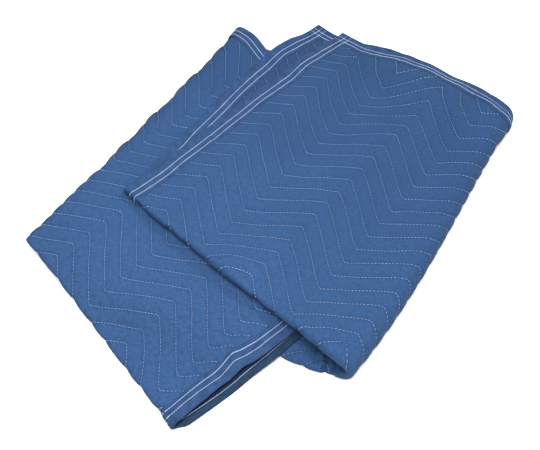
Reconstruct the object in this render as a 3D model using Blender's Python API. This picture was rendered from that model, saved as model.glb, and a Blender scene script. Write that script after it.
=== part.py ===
"""A quilted moving blanket with bound edges, folded in half along its length and then in three like a letter.

The blanket is worked out flat first. Its length runs along "run", its width along "side", and "side" is 0 on
the middle line. Folding in half on that line makes a strip of two plies. The strip is then folded into three
panels: the bottom flap comes over the middle panel at the left fold, and the top flap comes over both at the
right fold. Each point of the flat blanket is carried to its place in the folded pile by one function.

Metres, +Z up. The middle panel lies flat on the floor, and the origin is a point of that face.
"""

import math

import bmesh
import bpy
import numpy as np
from mathutils import Vector

# The cloth, flat.
LENGTH = 1.829
WIDTH = 1.372
HALF_WIDTH = WIDTH / 2

# The quilting: zigzag lines along the length.
LINE_PITCH = 0.038
ZIGZAG_PERIOD = 0.2223
ZIGZAG_SWING = 0.0443
FIRST_PEAK = 0.1844
LINE_SHIFT = 0.0547
LOFT_AT_LINE = 0.0011
LOFT_BETWEEN = 0.0025
LOFT_FADE = 0.016
LAST_RIDGED_LINE = 0

# The binding: a strip of cloth folded over the edge.
BAND_WIDTH = 0.038
FIELD_EDGE = HALF_WIDTH - BAND_WIDTH
BAND_THICKNESS = 0.0012
BAND_CLEARANCE = 0.0005
BAND_INSIDE = LOFT_AT_LINE + BAND_CLEARANCE
BAND_OUTSIDE = BAND_INSIDE + BAND_THICKNESS
CHANNEL_END = BAND_THICKNESS
QUILT_END = CHANNEL_END + BAND_CLEARANCE

# The pile: heights of the middle of a two-ply strip.
PLY_PITCH = 0.008
STRIP_PITCH = 2 * PLY_PITCH
FLOOR_STRIP = 0.0070
FIELD_PRESSED_BELOW = 0.0022
BAND_PRESSED_BELOW = 0.0008
HALF_FOLD_RADIUS = PLY_PITCH / 2

# The flaps on the floor plan. Each starts at its hem's corner on the half fold. "Along" and "across" are
# metres of floor for a metre of cloth, and "twist" is how they change over the flap. "Side bow" is how far
# the side hem stands out half-way along.
FLAP_LENGTH = 0.57
BOTTOM_FLAP = {
    "corner": (-0.188, -0.482),
    "along": (-0.668, 0.740),
    "across": (0.740, 0.661),
    "twist": (0.003, 0.015),
    "side_bow": -0.010,
    "corner_draw": 0.022,
}
TOP_FLAP = {
    "corner": (-0.320, -0.024),
    "along": (0.768, -0.664),
    "across": (0.670, 0.726),
    "twist": (-0.029, 0.028),
    "side_bow": 0.025,
    "corner_draw": 0.014,
}

# The two folds: the cloth from a flap's hem to the fold, on the half fold and for each metre away from it,
# how far the fold stands out in a bow, the radius of the bend at the half fold and at the side hem, and how
# far its swelling reaches into the flap.
FOLD_INSET = 0.0065
LEFT_FOLD = {
    "hem_distance": 0.4880,
    "slant": 0.214,
    "bow": 0.0,
    "radius": (0.015, 0.019),
    "reach": (0.030, 0.190),
}
RIGHT_FOLD = {
    "hem_distance": 0.5666,
    "slant": -0.135,
    "bow": 0.0165,
    "radius": (0.020, 0.026),
    "reach": (0.035, 0.170),
}
HANDLE = 4 / 3

# The half fold stands out unevenly: by how much, at places along the cloth, and how soon that fades.
BULGE_AT = (0.0, 0.13, 0.28, 0.38, 0.95, 1.06, 1.17, 1.24)
BULGE = (0.010, 0.0075, 0.0015, -0.001, 0.0, 0.008, 0.008, 0.0)
BULGE_FADE = 0.040

# Soft hills in the pile: x, y, radius, height, and the lowest flap that rides over it (1 bottom, 2 top).
SWELLS = (
    (-0.405, -0.125, 0.090, 0.010, 1),
    (0.045, -0.330, 0.080, 0.012, 2),
    (0.345, 0.265, 0.130, 0.018, 2),
)

# Where a flap hangs past what lies under it, it falls to the next level over this distance. The top flap is
# laid on last, so it spans wider steps.
FALL_START = 0.006
BOTTOM_FLAP_FALL = 0.100
TOP_FLAP_FALL_PAST_MIDDLE = 0.090
TOP_FLAP_FALL_PAST_BOTTOM = 0.130

# The inner ply slips against the outer one at each fold, so its hem shows past the outer hem.
SLIP_BOTTOM = {"most": 0.022, "over": 0.10, "from": 0.50, "to": 0.85}
SLIP_TOP = {"most": 0.072, "over": 0.28, "from": 1.25, "to": 0.60}
CORNER_DRAW_ACROSS = (0.50, 0.68)
CORNER_DRAW_REACH = 0.30

# The mesh.
CUTS_IN_A_BEND = 5
HALF_FOLD_TURN = math.radians(60)
SHORTEST_EDGE = 0.010
DIFFERENCE_STEP = 0.002
INVERSE_STEPS = 3
CUT_MERGE = 0.00001
CREASE_ANGLE = math.radians(50)

CLOTH_ROUGHNESS = 0.9
BLUE = (0.075, 0.165, 0.370, 1.0)
BAND_BLUE = (0.080, 0.150, 0.340, 1.0)


def ease(value):
    """0 below 0, 1 above 1 and smooth between them."""
    value = np.clip(value, 0.0, 1.0)
    return value * value * (3.0 - 2.0 * value)


def on_flap(flap, from_hem, across):
    """The floor plan of a flap at a distance of cloth from its hem and from the half fold."""
    corner, along, over, twist = (np.array(flap[key]) for key in ("corner", "along", "across", "twist"))
    way = np.clip(from_hem / FLAP_LENGTH, 0.0, 1.0)
    bowed = across + flap["side_bow"] * 4.0 * way * (1.0 - way) * (across / HALF_WIDTH) ** 2
    from_hem, across, bowed = from_hem[..., None], across[..., None], bowed[..., None]
    return corner + from_hem * along + bowed * over + from_hem * across * twist


def fold_bow(fold, across):
    """How far a fold stands out of its straight line. It is fullest a third of the way from the half fold."""
    way = np.clip(across / HALF_WIDTH, 0.0, 1.0)
    return fold["bow"] * 27 / 4 * way * (1.0 - way) ** 2


def fold_distance(fold, across):
    return fold["hem_distance"] + fold["slant"] * across + fold_bow(fold, across) - FOLD_INSET


def fold_radius(fold, across):
    near, far = fold["radius"]
    return near + (far - near) * across / HALF_WIDTH


def unit(vectors):
    return vectors / np.linalg.norm(vectors, axis=-1, keepdims=True)


def corners_of_middle_panel():
    ends = np.array([0.0, HALF_WIDTH])
    left = on_flap(BOTTOM_FLAP, fold_distance(LEFT_FOLD, ends), ends)
    right = on_flap(TOP_FLAP, fold_distance(RIGHT_FOLD, ends), ends)
    return left[0], right[0], right[1], left[1]


def corners_of_bottom_flap():
    ends = np.array([0.0, HALF_WIDTH])
    hem = on_flap(BOTTOM_FLAP, np.full(2, -SLIP_BOTTOM["most"]), ends)
    fold = on_flap(BOTTOM_FLAP, fold_distance(LEFT_FOLD, ends), ends)
    return hem[0], hem[1], fold[1], fold[0]


def held_up(plan, corners, fall):
    """1 over a convex outline, whose corners go anticlockwise, and falling to 0 outside it."""
    share = np.ones(plan.shape[:-1])
    for start, end in zip(corners, corners[1:] + corners[:1]):
        run = unit(end - start)
        outside = (plan - start) @ np.array([run[1], -run[0]])
        share = share * (1.0 - ease((outside - FALL_START) / fall))
    return share


def swell(plan, flap_number):
    height = np.zeros(plan.shape[:-1])
    for x, y, radius, top, lowest in SWELLS:
        if lowest <= flap_number:
            square = ((plan - np.array([x, y])) ** 2).sum(axis=-1)
            height = height + top * np.exp(-square / radius**2)
    return height


def near_fold(fold, from_hem, across):
    """1 at a fold and 0 where its swelling ends."""
    start, end = fold["reach"]
    return 1.0 - ease((fold_distance(fold, across) - from_hem - start) / (end - start))


def left_swelling(from_hem, across):
    lift = 2.0 * fold_radius(LEFT_FOLD, across) - STRIP_PITCH
    return lift * near_fold(LEFT_FOLD, from_hem, across)


def bottom_flap_coordinates(plan):
    """The distances from the bottom flap's hem and from the half fold, for a point of the floor plan."""
    corner = np.array(BOTTOM_FLAP["corner"])
    frame = np.array([BOTTOM_FLAP["along"], BOTTOM_FLAP["across"]])
    bent = np.zeros(plan.shape)
    for _ in range(INVERSE_STEPS):
        found = (plan - corner - bent) @ np.linalg.inv(frame)
        bent = on_flap(BOTTOM_FLAP, found[..., 0], found[..., 1]) - corner - found @ frame
    return found[..., 0], found[..., 1]


def bottom_flap_height(plan, from_hem, across):
    over_middle = held_up(plan, corners_of_middle_panel(), BOTTOM_FLAP_FALL)
    bend = near_fold(LEFT_FOLD, from_hem, across)
    support = 1.0 - (1.0 - over_middle) * (1.0 - bend)
    return FLOOR_STRIP + STRIP_PITCH * support + left_swelling(from_hem, across) + swell(plan, 1)


def top_flap_height(plan, from_hem, across):
    over_middle = held_up(plan, corners_of_middle_panel(), TOP_FLAP_FALL_PAST_MIDDLE)
    over_bottom = held_up(plan, corners_of_bottom_flap(), TOP_FLAP_FALL_PAST_BOTTOM)
    bend = near_fold(RIGHT_FOLD, from_hem, across)
    lift = (2.0 * fold_radius(RIGHT_FOLD, across) - 2 * STRIP_PITCH) * bend
    below = left_swelling(*bottom_flap_coordinates(plan)) * over_bottom
    middle = 1.0 - (1.0 - over_middle) * (1.0 - bend)
    bottom = 1.0 - (1.0 - over_bottom) * (1.0 - bend)
    return FLOOR_STRIP + STRIP_PITCH * (middle + bottom) + lift + below + swell(plan, 2)


def joined(plan, height):
    return np.concatenate([plan, height[..., None]], axis=-1)


def drawn_corner(flap, from_hem, across):
    """The hem draws in toward its corner at the side hem."""
    start, end = CORNER_DRAW_ACROSS
    far = ease((across - start) / (end - start))
    return from_hem + flap["corner_draw"] * far * (1.0 - ease(from_hem / CORNER_DRAW_REACH))


def bottom_flap(run, across):
    plan = on_flap(BOTTOM_FLAP, drawn_corner(BOTTOM_FLAP, run, across), across)
    return joined(plan, bottom_flap_height(plan, run, across))


def top_flap(run, across):
    from_hem = LENGTH - run
    plan = on_flap(TOP_FLAP, drawn_corner(TOP_FLAP, from_hem, across), across)
    return joined(plan, top_flap_height(plan, from_hem, across))


def bend(start, start_way, end, end_way, share):
    """A half turn from one run of cloth to the next, as a cubic curve."""
    share = share[..., None]
    first, second = start + start_way, end - end_way
    rest = 1.0 - share
    return rest**3 * start + 3 * rest**2 * share * first + 3 * rest * share**2 * second + share**3 * end


def strip_breaks(across):
    """Where along the cloth each bend starts and ends."""
    left, right = fold_radius(LEFT_FOLD, across), fold_radius(RIGHT_FOLD, across)
    left_start = fold_distance(LEFT_FOLD, across) - left
    right_end = LENGTH - fold_distance(RIGHT_FOLD, across) + right
    return left_start, left_start + math.pi * left, right_end - math.pi * right, right_end


def strip(run, across):
    """The middle surface of the folded two-ply strip."""
    left, right = fold_radius(LEFT_FOLD, across), fold_radius(RIGHT_FOLD, across)
    left_start, left_end, right_start, right_end = strip_breaks(across)
    left_tip = on_flap(BOTTOM_FLAP, fold_distance(LEFT_FOLD, across), across)
    right_tip = on_flap(TOP_FLAP, fold_distance(RIGHT_FOLD, across), across)
    way = unit(right_tip - left_tip)
    floor = np.full(across.shape, FLOOR_STRIP)
    middle_start = joined(left_tip + left[..., None] * way, floor)
    middle_end = joined(right_tip - right[..., None] * way, floor)
    flat_way = joined(way, np.zeros(across.shape))

    step = np.full(across.shape, DIFFERENCE_STEP)
    bottom_end = bottom_flap(left_start, across)
    bottom_way = unit(bottom_end - bottom_flap(left_start - step, across))
    top_start = top_flap(right_end, across)
    top_way = unit(top_flap(right_end + step, across) - top_start)

    share = (run - left_end) / (right_start - left_end)
    middle = middle_start + share[..., None] * (middle_end - middle_start)
    left_reach, right_reach = HANDLE * left[..., None], HANDLE * right[..., None]
    left_bend = bend(
        bottom_end,
        left_reach * bottom_way,
        middle_start,
        left_reach * flat_way,
        (run - left_start) / (left_end - left_start),
    )
    right_bend = bend(
        middle_end,
        right_reach * flat_way,
        top_start,
        right_reach * top_way,
        (run - right_start) / (right_end - right_start),
    )
    place = np.where((run < left_start)[..., None], bottom_flap(run, across), left_bend)
    place = np.where((run > left_end)[..., None], middle, place)
    place = np.where((run > right_start)[..., None], right_bend, place)
    return np.where((run > right_end)[..., None], top_flap(run, across), place)


def slipped(run, across, side):
    """The inner ply's place along the strip."""
    inner = np.where(side > 0, np.maximum(across, 0.0), 0.0)
    for slip, way in ((SLIP_BOTTOM, -1.0), (SLIP_TOP, 1.0)):
        amount = slip["most"] * (1.0 - np.exp(-inner / slip["over"]))
        run = run + way * amount * (1.0 - ease((run - slip["from"]) / (slip["to"] - slip["from"])))
    return run


def folded(run, side):
    """The place of a point of the flat blanket in the pile, and the way its outer face looks there."""
    turn = np.clip(side / HALF_FOLD_RADIUS, -math.pi / 2, math.pi / 2)
    past = np.maximum(np.abs(side) - HALF_FOLD_RADIUS * math.pi / 2, 0.0)
    across = past + HALF_FOLD_RADIUS * (1.0 - np.cos(turn))
    bulge = np.interp(run, BULGE_AT, BULGE) * np.exp(-across / BULGE_FADE)
    run = slipped(run, across, side)
    across = across - bulge
    step = DIFFERENCE_STEP
    place = strip(run, across)
    along_way = strip(run + step, across) - strip(run - step, across)
    across_way = unit(strip(run, across + step) - strip(run, across - step))
    up = unit(np.cross(along_way, across_way))
    sine, cosine = np.sin(turn)[..., None], np.cos(turn)[..., None]
    return place + HALF_FOLD_RADIUS * sine * up, sine * up - cosine * across_way


def zigzag(run):
    """How far the quilting lines stand to one side: straight runs between turned corners."""
    phase = (run - FIRST_PEAK) / ZIGZAG_PERIOD
    return ZIGZAG_SWING * (4.0 * np.abs(phase - np.round(phase)) - 1.0)


def inside_band(run, side):
    """The distance from the binding's inner edge, into the quilted field."""
    return np.minimum(np.minimum(run, LENGTH - run), HALF_WIDTH - np.abs(side)) - BAND_WIDTH


def half_thickness(run, side):
    """The quilt is thin along its stitched lines and under the binding, and lofty between them.

    The hidden inner ply has the mean of the two all over.
    """
    line = (side - LINE_SHIFT - zigzag(run)) / LINE_PITCH
    between = np.where(line > LAST_RIDGED_LINE + 0.5, 0.5, np.abs(np.sin(math.pi * line)))
    return LOFT_AT_LINE + (LOFT_BETWEEN - LOFT_AT_LINE) * between * ease(inside_band(run, side) / LOFT_FADE)


def columns():
    """The mesh's lines across the cloth: one on each zigzag corner, with one between them on the two flaps."""
    half = ZIGZAG_PERIOD / 2
    flap_ends = fold_distance(LEFT_FOLD, 0.0), LENGTH - fold_distance(RIGHT_FOLD, 0.0)
    found = []
    corner = FIRST_PEAK - 2 * half
    while corner < LENGTH + half:
        found.append(corner)
        between = corner + half / 2
        if between < flap_ends[0] or between > flap_ends[1]:
            found.append(between)
        corner += half
    return found


def rows():
    """The mesh's lines along the cloth, counted in stitched lines, with ridges between them on the outer ply."""
    reach = (FIELD_EDGE + ZIGZAG_SWING) / LINE_PITCH
    first, last = math.floor(-reach - LINE_SHIFT / LINE_PITCH), math.ceil(reach - LINE_SHIFT / LINE_PITCH)
    ridged = [number / 2 for number in range(2 * first, 2 * LAST_RIDGED_LINE)]
    return ridged + list(range(LAST_RIDGED_LINE, last + 1))


def zigzag_grid():
    """A flat grid whose rows follow the stitched lines and the ridges between them."""
    runs, lines = columns(), rows()
    cells, steps = len(runs) - 1, len(lines) - 1
    sheet = bmesh.new()
    bmesh.ops.create_grid(sheet, x_segments=cells, y_segments=steps, size=0.5)
    for vertex in sheet.verts:
        run = runs[round((vertex.co.x + 0.5) * cells)]
        line = lines[round((vertex.co.y + 0.5) * steps)]
        vertex.co = Vector((run, line * LINE_PITCH + LINE_SHIFT + float(zigzag(run)), 0.0))
    return sheet


def cut(sheet, point, outward, half=0, trim=False):
    """Cuts the flat sheet along a line, over all of it or over one half, and trims what lies outward."""
    faces = [face for face in sheet.faces if half * face.calc_center_median().y >= 0.0]
    edges = [edge for edge in sheet.edges if min(half * end.co.y for end in edge.verts) > -CUT_MERGE]
    points = [vertex for vertex in sheet.verts if half * vertex.co.y > -CUT_MERGE]
    bmesh.ops.bisect_plane(
        sheet,
        geom=points + edges + faces,
        dist=CUT_MERGE,
        plane_co=Vector((point[0], point[1], 0.0)),
        plane_no=Vector((outward[0], outward[1], 0.0)),
        clear_outer=trim,
    )


def trim_to_field(sheet):
    cut(sheet, (BAND_WIDTH, 0.0), (-1.0, 0.0), trim=True)
    cut(sheet, (LENGTH - BAND_WIDTH, 0.0), (1.0, 0.0), trim=True)
    cut(sheet, (0.0, -FIELD_EDGE), (0.0, -1.0), trim=True)
    cut(sheet, (0.0, FIELD_EDGE), (0.0, 1.0), trim=True)


def cut_half_fold(sheet):
    """Lines on the middle line and beside it, so that the fold there comes out round."""
    away = HALF_FOLD_RADIUS * HALF_FOLD_TURN
    for side in (-away, 0.0, away):
        cut(sheet, (0.0, side), (0.0, 1.0))


def merge_short_edges(sheet):
    """Merges points that lie close together on the field's edge, and keeps its corners."""
    merged = {}
    for edge in [edge for edge in sheet.edges if edge.is_boundary and edge.calc_length() < SHORTEST_EDGE]:
        kept, gone = edge.verts
        if len(gone.link_edges) == 2:
            kept, gone = gone, kept
        if not {kept, gone} & (merged.keys() | set(merged.values())):
            merged[gone] = kept
    bmesh.ops.weld_verts(sheet, targetmap=merged)


def straightened(run, across):
    """A place along the strip, moved so that the bows of the two folds come out straight."""
    if run < LENGTH / 2:
        return run - fold_bow(LEFT_FOLD, across)
    return run + fold_bow(RIGHT_FOLD, across)


def cut_bends(sheet):
    """Lines along the left and right folds, across both plies as they lie there once they have slipped.

    They slant away from the middle line on both halves. The layer keeps where each point is sewn.
    """
    sewn = sheet.verts.layers.float_vector.new("sewn")
    for vertex in sheet.verts:
        vertex[sewn] = vertex.co
        across = abs(vertex.co.y)
        vertex.co.x = float(straightened(float(slipped(vertex.co.x, across, vertex.co.y)), across))
    left_start, left_end, right_start, right_end = strip_breaks(np.array([0.0, HALF_WIDTH]))
    for start, end in ((left_start, left_end), (right_start, right_end)):
        for number in range(CUTS_IN_A_BEND + 1):
            near, far = start + (end - start) * number / CUTS_IN_A_BEND
            cut(sheet, (near, 0.0), (HALF_WIDTH, near - far), half=1)
            cut(sheet, (near, 0.0), (HALF_WIDTH, far - near), half=-1)
    for vertex in sheet.verts:
        vertex.co = vertex[sewn]


def slant_at(run):
    """How the folds slant there: metres along the cloth for each metre away from the middle line."""
    left, right = LEFT_FOLD["hem_distance"], LENGTH - RIGHT_FOLD["hem_distance"]
    return np.interp(run, (0.0, left, right, LENGTH), (0.0, LEFT_FOLD["slant"], -RIGHT_FOLD["slant"], 0.0))


def add_band(sheet):
    """Grows the field out to the blanket's edge, along the slant of the folds."""
    field_edge = [edge for edge in sheet.edges if edge.is_boundary]
    made = bmesh.ops.extrude_edge_only(sheet, edges=field_edge)["geom"]
    for vertex in [item for item in made if isinstance(item, bmesh.types.BMVert)]:
        run, side = vertex.co.x, vertex.co.y
        if abs(side) > FIELD_EDGE - CUT_MERGE:
            vertex.co.y = math.copysign(HALF_WIDTH, side)
            vertex.co.x = run + BAND_WIDTH * float(slant_at(run))
        if run < BAND_WIDTH + CUT_MERGE:
            vertex.co.x = 0.0
        if run > LENGTH - BAND_WIDTH - CUT_MERGE:
            vertex.co.x = LENGTH


def flat_sheet():
    sheet = zigzag_grid()
    trim_to_field(sheet)
    merge_short_edges(sheet)
    cut_half_fold(sheet)
    cut_bends(sheet)
    add_band(sheet)
    bmesh.ops.triangulate(sheet, faces=list(sheet.faces), quad_method="SHORT_EDGE", ngon_method="BEAUTY")
    for face in sheet.faces:
        face.normal_update()
        if face.normal.z < 0.0:
            face.normal_flip()
    return sheet


def in_field(face):
    centre = face.calc_center_median()
    return inside_band(centre.x, centre.y) > 0.0


def at_rim(edge):
    middle = (edge.verts[0].co + edge.verts[1].co) / 2
    return inside_band(middle.x, middle.y) < -BAND_WIDTH / 2


def stacked(sheet, facing_up, facing_down, seams):
    """A closed body: copies of a flat sheet, joined in pairs along their edges.

    A copy is its height and how far its rim is drawn in. A seam is the number of the copy facing up, the
    number of the copy facing down, and whether it joins them at the rim or at the inner edge.
    """
    body = bmesh.new()

    def copied(height, drawn_in, turned):
        copy = {}
        for vertex in sheet.verts:
            run = min(max(vertex.co.x, drawn_in), LENGTH - drawn_in)
            side = min(max(vertex.co.y, drawn_in - HALF_WIDTH), HALF_WIDTH - drawn_in)
            copy[vertex] = body.verts.new((run, side, height))
        for face in sheet.faces:
            corners = [copy[vertex] for vertex in face.verts]
            body.faces.new(corners[::-1] if turned else corners)
        return copy

    tops = [copied(height, drawn_in, False) for height, drawn_in in facing_up]
    bottoms = [copied(height, drawn_in, True) for height, drawn_in in facing_down]
    for top, bottom, rim in seams:
        for edge in [edge for edge in sheet.edges if edge.is_boundary and at_rim(edge) == rim]:
            start = edge.link_loops[0].vert
            end = edge.other_vert(start)
            above, below = tops[top], bottoms[bottom]
            body.faces.new((above[end], above[start], below[start], below[end]))
    sheet.free()
    return body


def quilted_panel():
    """The padded cloth: the quilted field, and a plain border inside the binding."""
    body = stacked(flat_sheet(), [(1.0, QUILT_END)], [(-1.0, QUILT_END)], [(0, 0, True)])
    for vertex in body.verts:
        vertex.co.z *= float(half_thickness(vertex.co.x, vertex.co.y))
    return body


def binding():
    """The strip folded over the blanket's edge: two walls joined only at the rim, with the panel between."""
    ring = flat_sheet()
    bmesh.ops.delete(ring, geom=[face for face in ring.faces if in_field(face)], context="FACES")
    facing_up = [(BAND_OUTSIDE, 0.0), (-BAND_INSIDE, CHANNEL_END)]
    facing_down = [(-BAND_OUTSIDE, 0.0), (BAND_INSIDE, CHANNEL_END)]
    seams = [(0, 0, True), (1, 1, True), (0, 1, False), (1, 0, False)]
    return stacked(ring, facing_up, facing_down, seams)


def laid_in_folds(name, flat, pressed_below, material):
    """Carries a flat body into the pile, and presses its lowest points flat on the floor."""
    points = np.array([vertex.co[:] for vertex in flat.verts])
    run, side, offset = points.T
    place, outward = folded(run, side)
    place = place + outward * offset[:, None]
    place[pressed_below(run, side) > place[:, 2], 2] = 0.0
    for vertex, found in zip(flat.verts, place):
        vertex.co = Vector(found)
    mesh = bpy.data.meshes.new(name)
    flat.to_mesh(mesh)
    flat.free()
    mesh.materials.append(material)
    mesh.shade_smooth()
    mesh.set_sharp_from_angle(angle=CREASE_ANGLE)
    made = bpy.data.objects.new(name, mesh)
    bpy.context.scene.collection.objects.link(made)


def cloth_material(name, colour):
    material = bpy.data.materials.new(name)
    material.use_nodes = True
    shader = material.node_tree.nodes["Principled BSDF"]
    shader.inputs["Base Color"].default_value = colour
    shader.inputs["Roughness"].default_value = CLOTH_ROUGHNESS
    shader.inputs["Metallic"].default_value = 0.0
    return material


def panel_pressed_below(run, side):
    """Only the quilted field is pressed to the floor. Its border stays inside the binding."""
    return np.where(inside_band(run, side) > CUT_MERGE, FIELD_PRESSED_BELOW, 0.0)


def binding_pressed_below(run, side):
    return np.full(run.shape, BAND_PRESSED_BELOW)


def main():
    for thing in list(bpy.data.objects):
        bpy.data.objects.remove(thing, do_unlink=True)
    quilted = cloth_material("quilted_cloth", BLUE)
    plain = cloth_material("binding_cloth", BAND_BLUE)
    laid_in_folds("quilted_panel", quilted_panel(), panel_pressed_below, quilted)
    laid_in_folds("binding", binding(), binding_pressed_below, plain)


if __name__ == "__main__":
    main()
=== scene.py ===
"""A quilted moving blanket with bound edges, folded in half along its length and then in three like a letter.

The blanket is worked out flat, in metres. "Run" goes along it from one end hem to the other, "side" goes
across it from one side hem to the other, and side 0 is the half fold. "Across" is the distance from the half
fold in either half. A pile carries each point of the flat blanket to its place. The half with a negative side
is the outer ply, and the other half is the inner ply.
"""
import logging
import math
from dataclasses import dataclass
from enum import Enum, IntEnum

import bmesh
import bpy
import numpy as np
from mathutils import Matrix, Vector


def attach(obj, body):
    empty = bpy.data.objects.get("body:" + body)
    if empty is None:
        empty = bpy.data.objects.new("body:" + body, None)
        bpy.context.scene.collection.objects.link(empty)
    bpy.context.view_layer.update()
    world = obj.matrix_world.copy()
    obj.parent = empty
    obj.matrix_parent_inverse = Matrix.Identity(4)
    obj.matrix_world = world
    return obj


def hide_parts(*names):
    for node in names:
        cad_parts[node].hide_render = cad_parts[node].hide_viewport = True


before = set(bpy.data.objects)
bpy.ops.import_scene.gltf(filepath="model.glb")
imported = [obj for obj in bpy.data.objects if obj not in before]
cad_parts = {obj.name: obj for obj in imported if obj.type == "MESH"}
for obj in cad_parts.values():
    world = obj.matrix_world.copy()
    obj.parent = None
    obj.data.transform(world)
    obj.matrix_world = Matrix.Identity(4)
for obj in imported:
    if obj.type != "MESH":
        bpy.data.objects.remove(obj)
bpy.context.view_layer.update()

LOG = logging.getLogger("blanket")

Array = np.ndarray
Pair = tuple[float, float]
Triple = tuple[float, float, float]
Colour = tuple[float, float, float, float]
Points = tuple[Pair, ...]
Key = int | str
Socket = bpy.types.NodeSocket
Outputs = bpy.types.NodeOutputs
Material = bpy.types.Material
Piece = bpy.types.Object
Body = bmesh.types.BMesh


@dataclass(frozen=True)
class Cloth:
    """The flat blanket's size."""

    length: float = 1.829
    width: float = 1.372

    @property
    def half_width(self) -> float:
        """From the half fold to a side hem."""
        return self.width / 2


CLOTH = Cloth()


class Ply(Enum):
    """The two halves of the blanket, on each side of the half fold."""

    OUTER = -1
    INNER = 1


class Face(Enum):
    """The two faces of a ply. The outer face looks away from the other ply."""

    OUTER = 1
    REVERSE = -1


class Layer(IntEnum):
    """The two flaps, counted upward."""

    BOTTOM = 1
    TOP = 2


class Hem(Enum):
    """The four edges of the flat blanket."""

    FIRST_END = "first_end"
    LAST_END = "last_end"
    OUTER_SIDE = "outer_side"
    INNER_SIDE = "inner_side"

    @property
    def at_end(self) -> bool:
        """Whether it is one of the two end hems."""
        return self in (Hem.FIRST_END, Hem.LAST_END)

    def sees(self, run: Array, side: Array) -> tuple[Array, Array, Array]:
        """Where points of the flat cloth are as the hem sees them.

        Args:
            run: how far along the blanket.
            side: how far from its middle line.

        Returns:
            How far along the hem, how far from it, and 1 on the plies that it belongs to.
        """
        if self.at_end:
            return side, run if self is Hem.FIRST_END else CLOTH.length - run, np.ones(run.shape)
        way = 1.0 if self is Hem.INNER_SIDE else -1.0
        return run, CLOTH.half_width - way * side, (way * side > 0.0).astype(float)


def ease(value: Array) -> Array:
    """0 below 0, 1 above 1 and smooth between them."""
    value = np.clip(value, 0.0, 1.0)
    return value * value * (3.0 - 2.0 * value)


def eased(value: Array, start: float, end: float) -> Array:
    """0 at the start, 1 at the end and smooth between them."""
    return ease((value - start) / (end - start))


def between(points: Points, place: Array) -> Array:
    """The value at each place, on straight lines between points that are a place and its value."""
    return np.interp(place, *zip(*points))


def unit(vectors: Array) -> Array:
    """The vectors, each made one long."""
    return vectors / np.linalg.norm(vectors, axis=-1, keepdims=True)


def joined(plan: Array, height: Array) -> Array:
    """Points of the floor plan at their heights."""
    return np.concatenate([plan, height[..., None]], axis=-1)


@dataclass(frozen=True)
class Quilting:
    """The zigzag lines that hold the padding."""

    pitch: float = 0.038
    period: float = 0.2223
    swing: float = 0.0443
    first_peak: float = 0.1844
    shift: float = 0.0547
    corner_round: float = 0.0035
    waver: float = 0.0007
    waver_length: float = 0.083

    def sway(self, run: Array) -> Array:
        """How far a line stands to one side: straight legs between rounded corners.

        Args:
            run: the distances along the cloth.

        Returns:
            The distances to the side.
        """
        phase = (run - self.first_peak) / self.period
        from_corner = np.abs(phase - np.round(phase)) * self.period
        quarter = self.period / 4
        near = np.where(from_corner < quarter, from_corner, 2 * quarter - from_corner)
        rounded = near + (np.hypot(near, self.corner_round) - near) * (1.0 - near / quarter)
        rise = np.where(from_corner < quarter, rounded, 2 * quarter - rounded)
        waver = self.waver * np.sin(run * 2 * math.pi / self.waver_length)
        return self.swing * (rise / quarter - 1.0) + waver

    def line(self, run: Array, side: Array) -> Array:
        """The number of the stitched line at a point, whole on a line."""
        return (side - self.shift - self.sway(run)) / self.pitch

    def stretch(self) -> float:
        """The thread for a metre of run."""
        return math.hypot(1.0, 4 * self.swing / self.period)


@dataclass(frozen=True)
class Flap:
    """One flap on the floor plan. It starts at its hem's corner on the half fold.

    "Along" and "across" are metres of floor for a metre of cloth, and "twist" is how they change over it. The
    side hem bows out by side_bow, and the flap's hem draws in by corner_draw toward the side hem.
    """

    corner: Pair
    along: Pair
    across: Pair
    twist: Pair
    side_bow: float
    corner_draw: float
    length: float = 0.57
    draw_across: Pair = (0.50, 0.68)
    draw_reach: float = 0.30
    rounds: int = 3

    def plan(self, from_hem: Array, across: Array) -> Array:
        """The floor plan at a distance of cloth from the hem and from the half fold.

        Args:
            from_hem: the distances from the flap's hem.
            across: the distances from the half fold.

        Returns:
            The points of the floor plan.
        """
        way = np.clip(from_hem / self.length, 0.0, 1.0)
        bow = self.side_bow * 4.0 * way * (1.0 - way) * (across / CLOTH.half_width) ** 2
        product = (from_hem * across)[..., None] * np.array(self.twist)
        straight = from_hem[..., None] * np.array(self.along)
        straight = straight + (across + bow)[..., None] * np.array(self.across)
        return np.array(self.corner) + straight + product

    def drawn(self, from_hem: Array, across: Array) -> Array:
        """The distances from the hem once it is drawn in toward the side hem."""
        far = eased(across, *self.draw_across)
        return from_hem + self.corner_draw * far * (1.0 - ease(from_hem / self.draw_reach))

    def coordinates(self, plan: Array) -> tuple[Array, Array]:
        """The distances from the hem and from the half fold, found in a few rounds.

        Args:
            plan: the points of the floor plan.

        Returns:
            The distances from the hem, and those from the half fold.
        """
        frame_back = np.linalg.inv(np.array([self.along, self.across]))
        bent = np.zeros(plan.shape)
        for _ in range(self.rounds):
            found = (plan - np.array(self.corner) - bent) @ frame_back
            there = self.plan(found[..., 0], found[..., 1])
            bent = there - np.array(self.corner) - found @ np.array([self.along, self.across])
        return found[..., 0], found[..., 1]


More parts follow.
